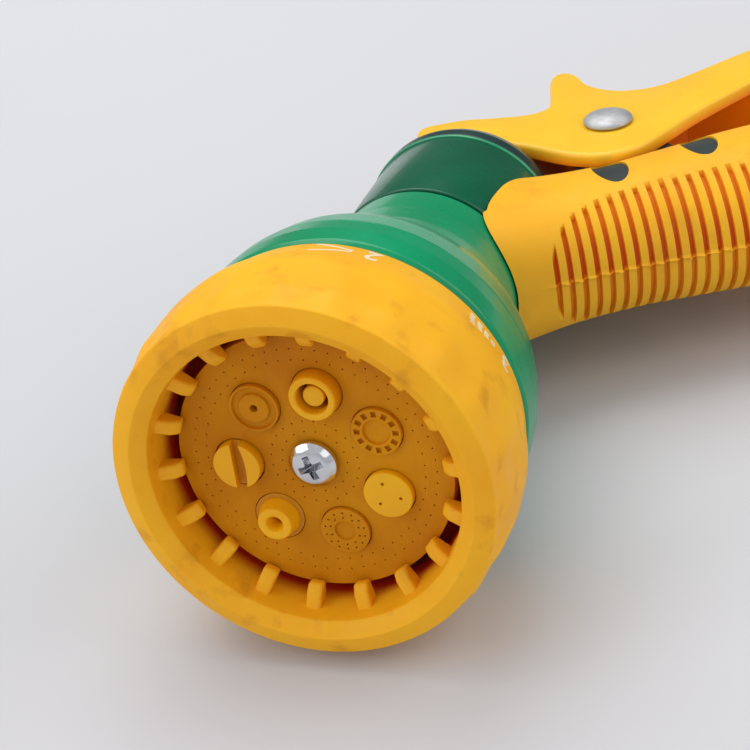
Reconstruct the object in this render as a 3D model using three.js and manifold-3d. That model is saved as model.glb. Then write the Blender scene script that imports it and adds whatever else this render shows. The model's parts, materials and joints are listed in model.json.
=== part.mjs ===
// Rear-lever garden hose spray nozzle with a seven-pattern dial, lying on its flank.
//
// Every piece is drawn in the "held" frame, the way the nozzle is held in use:
//   +X is the spray direction, +Z is up, +Y is the flank that faces up when it lies down.
//   The origin is the centre of the face plate's front. The handle has a frame of its own inside it:
//   +X is the grip's front, +Z runs up the handle, and its origin lies on the spray axis.
// The exported group lays the held frame on its flank, +Z up, with its bounding box
// standing on z = 0 around the origin. Millimetres throughout.
import * as THREE from "three";
import { mergeVertices } from "three/addons/utils/BufferGeometryUtils.js";
import Module from "manifold-3d";

const wasm = await Module();
wasm.setup();

// ---------------------------------------------------------------- driving dimensions
const gap = 0.3;                 // air between pieces that touch on the real nozzle
const dialRadius = 30.4;         // widest radius of the turning dial
const recessDepth = 7.6;         // from the dial's front lip down to the face plate
const dialRear = -15.8;          // where the dial ends and the body begins, along X
const plateRadius = 21.4;
const plateThickness = 2.6;
const ribCount = 18;
const scallopCount = 22;
const scallopDepth = 0.55;
const portCount = 7;
const portCircle = 12;           // radius of the circle that the seven outlets stand on
const portRadius = 3.85;
const firstPortAngle = THREE.MathUtils.degToRad(41);
const barrelRadius = 16.6;
const neckRear = -58.6;          // where the bell's neck meets the barrel
const barrelRear = -80.3;
const stemRadius = 2;
const seatX = -50.6;             // face that the valve washer closes on
const handleTilt = THREE.MathUtils.degToRad(29);   // how far the grip leans back
const handleTopX = -60;          // where the handle's axis crosses the spray axis
const gripLength = 126;
const gripWall = 2.4;
const collarTop = -10.1;         // the grip's collar reaches this height under the barrel
const pivot = new THREE.Vector3(-97.5, 0, -23);
const leverHalfWidth = 11.5;
const leverWall = 2.4;
const couplingRadius = 16.8;
const round = 32;                // segments of a large round piece
const smallRound = 16;           // segments of a small one

// The tilt of the held frame when it lies on its flank, from the three places it rests on.
const restOnBell = new THREE.Vector3(-24.4, -27.5, 0);
const restOnLever = new THREE.Vector3(-157.8, -leverHalfWidth, -75.3);
const restOnCoupling = new THREE.Vector3(-131.8, -couplingRadius, -129.4);

// ---------------------------------------------------------------- materials
function material(color, roughness, metalness) {
  return new THREE.MeshStandardMaterial({ color, roughness, metalness });
}
const plastic = (color, roughness) => material(color, roughness, 0);
const metal = (color, roughness) => material(color, roughness, 1);
const softYellow = () => plastic(0xfabe32, 0.6);
const plateYellow = () => plastic(0xc88a1e, 0.5);
const leverYellow = () => plastic(0xfccb44, 0.35);
const bodyGreen = () => plastic(0x239b73, 0.2);
const darkGreen = () => plastic(0x2d5a46, 0.25);
const darkCore = () => plastic(0x3a4846, 0.5);
const blackRubber = () => plastic(0x1c1c1c, 0.8);
const steel = () => metal(0xb8bcc0, 0.3);
const brass = () => metal(0xb5924c, 0.35);
const knobMetal = () => metal(0x6e655c, 0.45);

// ---------------------------------------------------------------- shape helpers
const axisX = new THREE.Vector3(1, 0, 0);
const axisY = new THREE.Vector3(0, 1, 0);
const axisZ = new THREE.Vector3(0, 0, 1);

/** Twice the signed area of a closed outline of [along, radius] points. */
function signedArea(profile) {
  return profile.reduce((sum, [x, r], i) => {
    const [nextX, nextR] = profile[(i + 1) % profile.length];
    return sum + x * nextR - nextX * r;
  }, 0);
}

/** A closed outline of [along, radius] points turned about the local Y axis. */
function turned(profile, segments) {
  const ordered = signedArea(profile) < 0 ? profile : [...profile].reverse();
  const points = [...ordered, ordered[0]].map(([along, radius]) => new THREE.Vector2(radius, along));
  return new THREE.LatheGeometry(points, segments);
}

/** The same, about the X axis (the spray axis). */
const turnedX = (profile, segments = round) => turned(profile, segments).rotateZ(-Math.PI / 2);

/** The same, about the Z axis (the handle's axis). */
const turnedZ = (profile, segments = round) => turned(profile, segments).rotateX(Math.PI / 2);

/** A round bar along X between two places, centred on (y, z). */
function barX(x0, x1, radius, y = 0, z = 0, segments = smallRound) {
  return turnedX([[x0, 0], [x0, radius], [x1, radius], [x1, 0]], segments).translate(0, y, z);
}

/** An outline in the Y-Z plane, given thickness along X. */
function extrudeX(shape, x0, x1, curveSegments = 8) {
  const geometry = new THREE.ExtrudeGeometry(shape, { depth: x1 - x0, bevelEnabled: false, curveSegments });
  return geometry.applyMatrix4(new THREE.Matrix4().makeBasis(axisY, axisZ, axisX)).translate(x0, 0, 0);
}

/** An outline in the X-Z plane, given thickness along Y, both ways from the middle. */
function extrudeY(shape, halfWidth, curveSegments = 8) {
  const depth = 2 * halfWidth;
  const geometry = new THREE.ExtrudeGeometry(shape, { depth, bevelEnabled: false, curveSegments });
  const turn = new THREE.Matrix4().makeBasis(axisX, axisZ, axisY.clone().negate());
  return geometry.applyMatrix4(turn).translate(0, halfWidth, 0);
}

/** A solid for manifold-3d from a closed geometry. */
function solid(geometry) {
  const bare = geometry.clone();
  bare.deleteAttribute("normal");
  bare.deleteAttribute("uv");
  const merged = mergeVertices(bare, 1e-4);
  const vertProperties = new Float32Array(merged.attributes.position.array);
  const triVerts = new Uint32Array(merged.index.array);
  return new wasm.Manifold(new wasm.Mesh({ numProp: 3, vertProperties, triVerts }));
}

/** A three.js geometry from a manifold-3d solid. */
function geometryOf(manifold) {
  const mesh = manifold.getMesh();
  const geometry = new THREE.BufferGeometry();
  geometry.setAttribute("position", new THREE.BufferAttribute(new Float32Array(mesh.vertProperties), 3));
  geometry.setIndex(new THREE.BufferAttribute(new Uint32Array(mesh.triVerts), 1));
  geometry.computeVertexNormals();
  return geometry;
}

/** A base geometry with others joined to it and more cut from it. */
function carve(base, cuts, joins = []) {
  const joined = joins.reduce((body, piece) => body.add(solid(piece)), solid(base));
  return geometryOf(cuts.reduce((body, piece) => body.subtract(solid(piece)), joined));
}

/** A solid skinned over a stack of closed rings of points, all with the same count. */
function loft(rings) {
  const count = rings[0].length;
  const centre = (ring) => ring.reduce((sum, p) => sum.add(p), new THREE.Vector3()).divideScalar(count);
  const points = [...rings.flat(), centre(rings[0]), centre(rings.at(-1))];
  const index = [];
  for (let i = 0; i + 1 < rings.length; i++) {
    for (let j = 0; j < count; j++) {
      const a = i * count + j;
      const b = i * count + ((j + 1) % count);
      index.push(a, b, a + count, b, b + count, a + count);
    }
  }
  const last = (rings.length - 1) * count;
  for (let j = 0; j < count; j++) {
    index.push(points.length - 2, (j + 1) % count, j);
    index.push(points.length - 1, last + j, last + ((j + 1) % count));
  }
  const geometry = new THREE.BufferGeometry().setFromPoints(points);
  geometry.setIndex(index);
  return geometry;
}

/** A wire of round section wound about X, from x0 to x1. */
function coilSpring(x0, x1, coilRadius, wireRadius, turns) {
  class Helix extends THREE.Curve {
    getPoint(t) {
      const angle = 2 * Math.PI * turns * t;
      const along = x0 + (x1 - x0) * t;
      return new THREE.Vector3(along, coilRadius * Math.cos(angle), coilRadius * Math.sin(angle));
    }
  }
  const wire = new THREE.Shape().absarc(0, 0, wireRadius, 0, 2 * Math.PI);
  const stepsPerTurn = 9;
  const steps = turns * stepsPerTurn;
  const extrudePath = new Helix();
  return new THREE.ExtrudeGeometry(wire, { steps, extrudePath, curveSegments: 2, bevelEnabled: false });
}

function piece(name, geometry, material) {
  const mesh = new THREE.Mesh(geometry, material);
  mesh.name = name;
  return mesh;
}

// ---------------------------------------------------------------- the turning dial
/** Angle of an outlet about the spray axis, from +Y towards +Z. */
const portAngle = (index) => firstPortAngle - (index * 2 * Math.PI) / portCount;
const portY = (index) => portCircle * Math.cos(portAngle(index));
const portZ = (index) => portCircle * Math.sin(portAngle(index));

/** The soft yellow ring: a scalloped outer wall, a front lip and ribs that span to the plate's edge. */
function bezelRing() {
  const innerWall = 24;
  const lip = recessDepth;
  const profile = [
    [-4, innerWall], [lip - 0.4, innerWall + 0.2], [lip, innerWall + 0.9], [lip + 0.2, 26], [lip, 28.3],
    [lip - 0.9, 29.2], [2, dialRadius], [-6, dialRadius], [-11.6, 29.3], [dialRear, 27.9],
    [dialRear, 25.5], [-6, 25.5],
  ];
  const ring = turnedX(profile, scallopCount * 3);
  const position = ring.attributes.position;
  for (let i = 0; i < position.count; i++) {
    const y = position.getY(i);
    const z = position.getZ(i);
    const x = position.getX(i);
    const onOuterWall = Math.hypot(y, z) > 28.8 && x < lip - 0.5;
    if (!onOuterWall) continue;
    const wave = 0.5 - 0.5 * Math.cos(scallopCount * Math.atan2(z, y));
    const scale = 1 - (scallopDepth * wave) / dialRadius;
    position.setY(i, y * scale);
    position.setZ(i, z * scale);
  }
  const ribShape = new THREE.Shape([
    new THREE.Vector2(0.4, 20.6), new THREE.Vector2(1.8, 20.4), new THREE.Vector2(3, 21.6),
    new THREE.Vector2(3.9, 24.8), new THREE.Vector2(0.4, 24.8),
  ]);
  const ribHalfWidth = 1.2;
  const ribs = Array.from({ length: ribCount }, (_, i) => {
    const angle = THREE.MathUtils.degToRad(13) + (i * 2 * Math.PI) / ribCount;
    return extrudeY(ribShape, ribHalfWidth).rotateX(angle - Math.PI / 2);
  });
  return piece("bezel_ring", carve(ring, [], ribs), softYellow());
}

function facePlate() {
  const disc = new THREE.Shape().absarc(0, 0, plateRadius, 0, 2 * Math.PI);
  disc.holes.push(new THREE.Path().absarc(0, 0, 2.3, 0, 2 * Math.PI));
  for (let i = 0; i < portCount; i++) {
    disc.holes.push(new THREE.Path().absarc(portY(i), portZ(i), portRadius + gap, 0, 2 * Math.PI));
  }
  return piece("face_plate", extrudeX(disc, -plateThickness, 0, 9), plateYellow());
}

const insertBack = -2.4;         // how deep each outlet insert sits behind the plate's front

/** Places an outlet insert, drawn about the spray axis, at its own station on the plate. */
const atPort = (index, geometry) => geometry.translate(0, portY(index), portZ(index));

/** Flat outlet with two concentric rings around a centre hole. */
function ringsOutlet(index) {
  const profile = [
    [insertBack, 0.45], [insertBack, portRadius], [0.8, portRadius], [0.8, 3.4], [0.4, 3.25],
    [0.4, 2.55], [0.8, 2.4], [0.8, 0.9], [0.5, 0.45],
  ];
  return piece("outlet_rings", atPort(index, turnedX(profile, 20)), plateYellow());
}

/** Tall ring that the cone spray leaves, around a separate core pin. */
function coneOutlet(index) {
  const profile = [
    [insertBack, 2.4], [insertBack, portRadius], [0, portRadius], [2.0, 3.75], [2.4, 3.4], [2.4, 2.6],
    [2.0, 2.4],
  ];
  return piece("outlet_cone", atPort(index, turnedX(profile, 20)), softYellow());
}

function coneCore(index) {
  const profile = [[insertBack, 0], [insertBack, 1.75], [1.1, 1.75], [1.4, 1.5], [1.4, 0]];
  return piece("cone_core", atPort(index, turnedX(profile, 20)), softYellow());
}

/** Flat ring pierced by a circle of radial windows. */
function windowOutlet(index) {
  const windowCount = 12;
  const profile = [[insertBack, 1.7], [insertBack, portRadius], [0.7, portRadius], [0.7, 1.7]];
  const cuts = Array.from({ length: windowCount }, (_, i) => {
    const window = new THREE.BoxGeometry(1.2, 1.1, 0.85).translate(0.7, 2.9, 0);
    return window.rotateX((i * 2 * Math.PI) / windowCount);
  });
  return piece("outlet_windows", atPort(index, carve(turnedX(profile, 24), cuts)), plateYellow());
}

/** Raised disc with three pin holes for the mist. */
function mistOutlet(index) {
  const profile = [[insertBack, 0], [insertBack, portRadius], [0.8, portRadius], [1.1, 3.5], [1.1, 0]];
  const cuts = [0, 1, 2].map((i) => {
    const angle = (i * 2 * Math.PI) / 3;
    return barX(-3, 2, 0.35, 2 * Math.cos(angle), 2 * Math.sin(angle), 6);
  });
  return piece("outlet_mist", atPort(index, carve(turnedX(profile, 24), cuts)), softYellow());
}

/** Low disc with a recessed middle for the fine shower. */
function showerOutlet(index) {
  const profile = [
    [insertBack, 0], [insertBack, portRadius], [0.5, portRadius], [0.6, 3.6], [0.6, 1.8], [0.1, 1.6],
    [0.1, 0],
  ];
  return piece("outlet_shower", atPort(index, turnedX(profile, 24)), plateYellow());
}

/** Tapered nozzle for the single jet. */
function jetOutlet(index) {
  const profile = [
    [insertBack, 0.8], [insertBack, portRadius], [0.3, portRadius], [2.3, 3.1], [2.7, 2.8], [2.7, 1.5],
    [1.2, 0.8],
  ];
  return piece("outlet_jet", atPort(index, turnedX(profile, 24)), softYellow());
}

/** Raised disc split by one deep slot for the flat spray, straight on one side and bowed on the other. */
function flatOutlet(index) {
  const profile = [[insertBack, 0], [insertBack, portRadius], [1.3, portRadius], [1.6, 3.5], [1.6, 0]];
  const opening = new THREE.Shape();
  opening.moveTo(portRadius + 1, 0.4);
  opening.lineTo(-portRadius - 1, 0.4);
  opening.lineTo(-portRadius - 1, -0.6);
  opening.quadraticCurveTo(0, -1.5, portRadius + 1, -0.2);
  const slot = extrudeX(opening, 0, 3, 6);
  return piece("outlet_flat", atPort(index, carve(turnedX(profile, 24), [slot])), softYellow());
}

/** Disc behind the plate that turns over the body's outlet, with a water tube for each port. */
function dialBackPlate() {
  const rear = -12.3;
  const front = rear + 2.5;
  const radius = 25.2;
  const disc = turnedX([[rear, 2.4], [rear, radius], [front, radius], [front, 2.4]]);
  const tubes = [];
  const bores = [];
  for (let i = 0; i < portCount; i++) {
    tubes.push(barX(front - 0.5, -plateThickness - gap, 3.4, portY(i), portZ(i), 14));
    bores.push(barX(rear - 1, 0, 2, portY(i), portZ(i), 12));
  }
  const dimples = Array.from({ length: portCount }, (_, i) => {
    const angle = Math.PI + portAngle(i);
    return barX(rear - 1, rear + 1, 1.4, 20 * Math.cos(angle), 20 * Math.sin(angle), 8);
  });
  return piece("dial_back_plate", carve(disc, [...bores, ...dimples], tubes), plateYellow());
}

function dial() {
  const group = new THREE.Group();
  group.add(bezelRing(), facePlate(), dialBackPlate());
  group.add(ringsOutlet(0), coneOutlet(1), coneCore(1), windowOutlet(2), mistOutlet(3));
  group.add(showerOutlet(4), jetOutlet(5), flatOutlet(6));
  return group;
}

// ---------------------------------------------------------------- the body on the spray axis
const bulkheadFront = -15.6;
const detentRadius = 20;
const detentY = detentRadius * Math.cos(Math.PI + firstPortAngle);
const detentZ = detentRadius * Math.sin(Math.PI + firstPortAngle);

/** Cross-headed screw that the dial turns on. */
function centerScrew() {
  const headRadius = 3.8;
  const headHeight = 2;
  const rim = 0.5;
  const shankEnd = -26;
  const shankRadius = 1.6;
  const domeSteps = 5;
  const dome = Array.from({ length: domeSteps }, (_, i) => {
    const angle = (i * Math.PI) / (2 * domeSteps);
    return [gap + rim + (headHeight - rim) * Math.sin(angle), headRadius * Math.cos(angle)];
  });
  const profile = [
    [shankEnd, 0], [shankEnd, shankRadius], [gap, shankRadius], [gap, headRadius], ...dome,
    [gap + headHeight, 0],
  ];
  const crossTurn = 0.35;
  const cross = [crossTurn, crossTurn + Math.PI / 2].map((angle) => {
    return new THREE.BoxGeometry(2.2, 0.8, 3.6).translate(headHeight + 0.5, 0, 0).rotateX(angle);
  });
  return piece("center_screw", carve(turnedX(profile, 28), cross), steel());
}

/** Rubber ring between the body's outlet and the dial. */
function outletSeal() {
  const profile = [[-17, 2.8], [-17, 4.5], [-12.9, 4.1], [-12.6, 3.6], [-12.6, 2.8]];
  return piece("outlet_seal", atPort(0, turnedX(profile, 20)), blackRubber());
}

function detentBall() {
  const ball = new THREE.SphereGeometry(1.9, 14, 8).translate(-14.6, detentY, detentZ);
  return piece("detent_ball", ball, steel());
}

function detentSpring() {
  const spring = coilSpring(-22, -17.2, 1.5, 0.3, 4).translate(0, detentY, detentZ);
  return piece("detent_spring", spring, steel());
}

/** The water body: front bulkhead, chamber, valve wall and barrel in one moulding. */
function barrelHousing() {
  const frontTube = 14.2;
  const bore = 10.5;
  const profile = [
    [bulkheadFront, 1.9], [bulkheadFront, 24.6], [-18.6, 24.6], [-18.6, 18.4], [-32, 18.4],
    [-39, frontTube], [neckRear - gap, frontTube], [neckRear - gap, barrelRadius],
    [barrelRear, barrelRadius], [barrelRear, 13.3], [-75.9, 13.3], [-75.9, bore], [-50.2, bore],
    [-50.2, 5.3], [-46.2, 5.3], [-46.2, 10.8], [-40, 10.8], [-33, 15.4], [-18.6, 15.4], [-18.6, 4.6],
    [-27, 4.6], [-27, 1.9],
  ];
  const outletHole = barX(-20, -14, 2.6, portY(0), portZ(0), 14);
  const sealPocket = barX(-17.3, -14, 4.9, portY(0), portZ(0));
  const detentTower = barX(-24, -18, 3.5, detentY, detentZ, 14);
  const detentPocket = barX(-22.4, -14, 2.2, detentY, detentZ, 14);
  const inlet = turnedZ([[-30, 0], [-30, 7.2], [-8, 7.2], [-8, 0]], 24);
  inlet.applyMatrix4(handlePlacement);
  const cuts = [outletHole, sealPocket, detentPocket, inlet];
  return piece("barrel_housing", carve(turnedX(profile), cuts, [detentTower]), darkGreen());
}

/** Outer surface of the bell and its neck, as [along, radius], from front to back. */
const bellOutline = [
  [-16.2, 27.4], [-16.9, 28], [-21, 28], [-24.4, 27.5], [-29.8, 26.1], [-33.4, 24.5], [-34.7, 23.4],
  [-35.6, 22.0], [-38, 20.3], [-42, 18.6], [-47, 17.4], [-52.5, 16.7], [neckRear, 16.4],
];

function bellCover() {
  const inside = [[neckRear, 14.5], [-40, 14.6], [-32.6, 18.8], [-31, 22.4], [-24, 25], [-16.2, 25]];
  return piece("bell_cover", turnedX([...bellOutline, ...inside]), bodyGreen());
}

/** Dark cap that closes the barrel's rear and guides the stem. */
function rearCap() {
  const front = barrelRear - gap;
  const rim = barrelRadius + 0.2;
  const profile = [
    [front, rim], [-82.8, rim], [-85.4, 15.8], [-87.2, 13.8], [-88, 11.5], [-88, 6.4], [-84, 6.4],
    [-84, 2.5], [-76.4, 2.5], [-76.4, 12.9], [front, 12.9],
  ];
  return piece("rear_cap", turnedX(profile), darkCore());
}

function stemOring() {
  const ring = new THREE.TorusGeometry(3.5, 0.9, 8, 20).rotateY(Math.PI / 2).translate(-85.3, 0, 0);
  return piece("stem_oring", ring, blackRubber());
}

/** Hexagon nut that squeezes the O-ring on the stem. */
function packingNut() {
  const hexagon = turnedX([[-92, 0], [-92, 8.4], [-88.3, 8.4], [-88.3, 0]], 6);
  const thread = barX(-89, -86.6, 6);
  return piece("packing_nut", carve(hexagon, [barX(-95, -80, 2.4)], [thread]), blackRubber());
}

function valveSeat() {
  const profile = [[seatX, 3.6], [seatX, 4.6], [-50, 5], [-46, 5], [-46, 3.6]];
  return piece("valve_seat", turnedX(profile, 24), brass());
}

/** Spring at its fully pressed length, so the valve clears it over its whole travel. */
function valveSpring() {
  return piece("valve_spring", coilSpring(-75, -67, 5.2, 0.7, 5), steel());
}

// ---------------------------------------------------------------- what the lever pulls
function valveStem() {
  const profile = [
    [seatX - 0.4, 0], [seatX - 0.4, 1.7], [-53.1, 1.7], [-53.1, 7.6], [-55.8, 7.6], [-56.6, 6],
    [-56.6, stemRadius], [-109.8, stemRadius], [-110.4, 1.5], [-110.4, 0],
  ];
  return piece("valve_stem", turnedX(profile, smallRound), brass());
}

function valveWasher() {
  const profile = [[seatX - gap, 2], [seatX - gap, 7.8], [-52.8, 7.8], [-52.8, 2]];
  return piece("valve_washer", turnedX(profile, 24), blackRubber());
}

/** Round adjusting knob behind the lever, coned in front so the lever can rock on it. */
function stemNut() {
  const profile = [
    [-100.9, 2.3], [-101.1, 3.2], [-103.4, 8.5], [-106.9, 8.5], [-108.3, 7.2], [-108.9, 4.5],
    [-108.9, 2.3],
  ];
  return piece("stem_nut", turnedX(profile, 28), knobMetal());
}

// ---------------------------------------------------------------- the handle
const handlePlacement = new THREE.Matrix4()
  .makeRotationY(handleTilt)
  .setPosition(handleTopX, 0, 0);

// Stations down the handle: [distance from the spray axis, front, back, half width].
const gripStations = [
  [-4, 16, -15.2, 13.8], [4, 15.5, -15, 13.6], [12, 14.2, -14.2, 12.8], [22, 13.1, -13.2, 11.9],
  [32, 12.9, -13.1, 11.8], [42, 13.4, -14.2, 12.2], [54, 14, -15.8, 12.7], [68, 14.4, -16.6, 13],
  [82, 14.4, -16.6, 13.1], [96, 14.2, -15.8, 12.9], [110, 14.2, -14.9, 12.8], [120, 14.2, -14.4, 12.8],
  [gripLength, 14, -14, 12.6],
];

/** How the section's corners fill out: 1 is a plain ellipse, and the collar is squarer than the grip. */
function cornerPower(distance) {
  const collarEnd = 8;
  const gripStart = 36;
  const between = THREE.MathUtils.clamp(distance, collarEnd, gripStart);
  return THREE.MathUtils.mapLinear(between, collarEnd, gripStart, 0.72, 0.97);
}

/** One closed ring of the grip's rounded section, shrunk all round by inset. */
function gripRing([distance, front, back, halfWidth], inset) {
  const pointCount = 24;
  const middle = (front + back) / 2;
  const halfDepth = (front - back) / 2 - inset;
  const power = cornerPower(distance);
  return Array.from({ length: pointCount }, (_, i) => {
    const angle = (i * 2 * Math.PI) / pointCount;
    const swell = (value) => Math.sign(value) * Math.abs(value) ** power;
    const x = middle + halfDepth * swell(Math.cos(angle));
    return new THREE.Vector3(x, -(halfWidth - inset) * swell(Math.sin(angle)), -distance);
  });
}

/** The grip's solid form, shrunk by inset and stretched past both ends. */
function gripForm(inset, extra = 0) {
  const stations = gripStations.map(([distance, ...sizes], i) => {
    const isLast = i === gripStations.length - 1;
    return [distance - (i === 0 ? extra : 0) + (isLast ? extra : 0), ...sizes];
  });
  return loft(stations.map((station) => gripRing(station, inset)));
}

/** Everything above the collar's top edge, and the barrel with air around it, in the handle's frame. */
function barrelClearance() {
  const toHandle = handlePlacement.clone().invert();
  const air = 0.4;
  const cover = bellOutline.slice(4).map(([x, radius]) => [x, radius + air]);
  const barrelWall = barrelRadius + 0.2 + gap;
  const rear = -95;
  const profile = [[cover[0][0], 0], ...cover, [neckRear - 1, barrelWall], [rear, barrelWall], [rear, 0]];
  const height = 60;
  const above = new THREE.BoxGeometry(120, 60, height).translate(handleTopX, 0, collarTop + height / 2);
  return [turnedX(profile).applyMatrix4(toHandle), above.applyMatrix4(toHandle)];
}

/** The pivot's place in the handle's frame. */
const pivotInHandle = pivot.clone().applyMatrix4(handlePlacement.clone().invert());

/** Cheek of the core that reaches back between the lever's sides and holds the rivet. */
function lugShape(margin) {
  const { x, z } = pivotInHandle;
  const radius = 6.6 + margin;
  const shape = new THREE.Shape();
  shape.moveTo(-6, z + radius + 4);
  shape.lineTo(x, z + radius);
  shape.absarc(x, z, radius, Math.PI / 2, -Math.PI / 2 + 2 * Math.PI, false);
  shape.lineTo(-6, z - radius - 4);
  return shape;
}

const lugHalfWidth = 8.7;

/** Slices that the lever's cheeks sweep through at the back of the grip. */
function cheekRelief() {
  const reach = 14.2;
  const thickness = 3.4;
  const { x, z } = pivotInHandle;
  const side = (y) => new THREE.CylinderGeometry(reach, reach, thickness, 24).translate(x, y, z);
  return [side(leverHalfWidth - 1), side(1 - leverHalfWidth)];
}

// Centres of the oval windows: [x, distance down the handle].
const windowCentres = [[-2.4, 33], [-3.8, 49], [-4.8, 65], [-4.8, 81], [-3.8, 97]];

/** Oval bars through both flanks, one for each pair of windows, shrunk by inset. */
function windowBars(inset) {
  return windowCentres.map(([x, distance]) => {
    const oval = new THREE.Shape().absellipse(x, -distance, 5.8 - inset, 2.9 - inset, 0, 2 * Math.PI);
    return extrudeY(oval, 20, 4);
  });
}

function gripSleeve() {
  const slot = extrudeY(lugShape(0.5), lugHalfWidth + 0.5);
  const hollow = [gripForm(gripWall, 5), ...barrelClearance(), slot, ...cheekRelief()];
  return piece("grip_sleeve", carve(gripForm(0), [...hollow, ...windowBars(0)]), softYellow());
}

const inletFlange = 134;         // distance down the handle of the flange that the coupling turns on

/** Pads of the core that fill the sleeve's windows almost flush, in pairs. */
function windowPads() {
  const skin = solid(gripForm(gap));
  return windowBars(gap).map((bar) => geometryOf(solid(bar).intersect(skin)));
}

/** The dark inner handle: water tube, barrel spigot, rivet lug, window pads and the coupling's flange. */
function handleCore() {
  const neckTop = 1 - gripLength;
  const flangeEnd = -inletFlange - 2;
  const spigot = turnedZ([[-22, 0], [-22, 6.8], [-12.5, 6.8], [-12.5, 0]], 24);
  const lug = extrudeY(lugShape(0), lugHalfWidth);
  const neck = turnedZ([
    [neckTop, 0], [neckTop, 7.4], [-inletFlange, 7.4], [-inletFlange, 10.8], [flangeEnd, 10.8],
    [flangeEnd, 0],
  ], 28);
  const waterway = turnedZ([[-150, 0], [-150, 5.6], [-5, 5.6], [-5, 0]], 24);
  const pinHole = new THREE.CylinderGeometry(2.6, 2.6, 40, 16).translate(pivotInHandle.x, 0, pivotInHandle.z);
  const trimmed = carve(gripForm(gripWall + gap), barrelClearance());
  const additions = [spigot, lug, neck, ...windowPads()];
  return piece("handle_core", carve(trimmed, [waterway, pinHole, ...cheekRelief()], additions), darkCore());
}

/** Fluted swivel nut that screws on the hose's tap-size thread. */
function hoseCoupling() {
  const top = -(inletFlange - 5);
  const lip = top - 3.6;
  const bottom = top - 22;
  const fluteCount = 16;
  const profile = [
    [top, 7.9], [top, 13.6], [top - 1.6, couplingRadius], [bottom + 1.2, couplingRadius], [bottom, 15.8],
    [bottom, 13.4], [lip, 13.4], [lip, 7.9],
  ];
  const body = turnedZ(profile, fluteCount * 3);
  const flutes = Array.from({ length: fluteCount }, (_, i) => {
    const angle = (i * 2 * Math.PI) / fluteCount;
    const flute = new THREE.CylinderGeometry(1.4, 1.4, 15, 8).rotateX(Math.PI / 2);
    const reach = couplingRadius + 0.6;
    return flute.translate(reach * Math.cos(angle), reach * Math.sin(angle), (top + bottom) / 2);
  });
  return piece("hose_coupling", carve(body, flutes), darkCore());
}

function couplingWasher() {
  const top = -inletFlange - 2 - gap;
  const profile = [[top, 6.4], [top, 12.9], [top - 2.6, 12.9], [top - 2.6, 6.4]];
  return piece("coupling_washer", turnedZ(profile, 28), blackRubber());
}

function filterScreen() {
  const disc = new THREE.Shape().absarc(0, 0, 12.7, 0, 2 * Math.PI);
  const ringPitch = 2.7;
  const holeRadius = 0.9;
  for (let ring = 1; ring <= 2; ring++) {
    for (let i = 0; i < 6 * ring; i++) {
      const angle = (i * 2 * Math.PI) / (6 * ring);
      const x = ringPitch * ring * Math.cos(angle);
      const y = ringPitch * ring * Math.sin(angle);
      disc.holes.push(new THREE.Path().absarc(x, y, holeRadius, 0, 2 * Math.PI));
    }
  }
  const thickness = 0.8;
  const top = -inletFlange - 5.3;
  const screen = new THREE.ExtrudeGeometry(disc, { depth: thickness, bevelEnabled: false, curveSegments: 4 });
  return piece("filter_screen", screen.translate(0, 0, top - thickness), steel());
}

function handle() {
  const group = new THREE.Group();
  group.applyMatrix4(handlePlacement);
  group.add(handleCore(), gripSleeve(), hoseCoupling(), couplingWasher(), filterScreen());
  return group;
}

// ---------------------------------------------------------------- the lever
// Side outline in the held frame's X-Z plane, as smooth runs between corners.
const leverBack = [
  [-97.6, 8.6], [-99.6, 4], [-100.4, -1], [-101.6, -7], [-104.4, -10], [-109, -9.6], [-115, -8],
  [-119.2, -7.6], [-120.8, -9.4], [-119.6, -12], [-115.2, -15.2], [-112.6, -19.8], [-112.6, -24.5],
  [-114.8, -28.8], [-119.5, -33], [-129.8, -41.1], [-140, -50.6], [-149, -61], [-155.6, -71], [-159, -78],
];
const leverFront = [
  [-151.8, -81.2], [-147.6, -74], [-141.5, -66], [-133.5, -57.6], [-124.5, -50.4], [-113.8, -44],
  [-101.8, -37.4], [-94, -34], [-88.2, -31.2], [-85, -27.8], [-83.8, -23.5], [-84.8, -18], [-88, -10.5],
  [-90, -3], [-90.6, 4],
];
const leverTip = [-93.8, 11];

const toVectors = (points) => points.map(([x, z]) => new THREE.Vector2(x, z));

function leverShape() {
  const shape = new THREE.Shape();
  shape.moveTo(...leverBack[0]);
  shape.splineThru(toVectors(leverBack.slice(1)));
  shape.quadraticCurveTo(-158.6, -83.4, ...leverFront[0]);
  shape.splineThru(toVectors(leverFront.slice(1)));
  shape.quadraticCurveTo(-91, 10.4, ...leverTip);
  shape.quadraticCurveTo(-96.4, 11.4, ...leverBack[0]);
  return shape;
}

/** The channel inside the lever: it opens to the front and leaves a wall along the back. */
function leverChannel() {
  const webInside = [
    [-94, 30], [-96.6, 8], [-98, 0], [-99, -6], [-101.8, -12.4], [-108.2, -15.4], [-110.2, -19.8],
    [-110.2, -25], [-112.8, -30], [-118, -34.8], [-128.2, -43], [-138.2, -52.4], [-147, -62.6],
    [-153.4, -72.2], [-155.6, -78.4],
  ];
  const shape = new THREE.Shape();
  shape.moveTo(-60, 30);
  shape.lineTo(...webInside[0]);
  shape.splineThru(toVectors(webInside.slice(1)));
  shape.lineTo(-60, -84);
  return shape;
}

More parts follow.
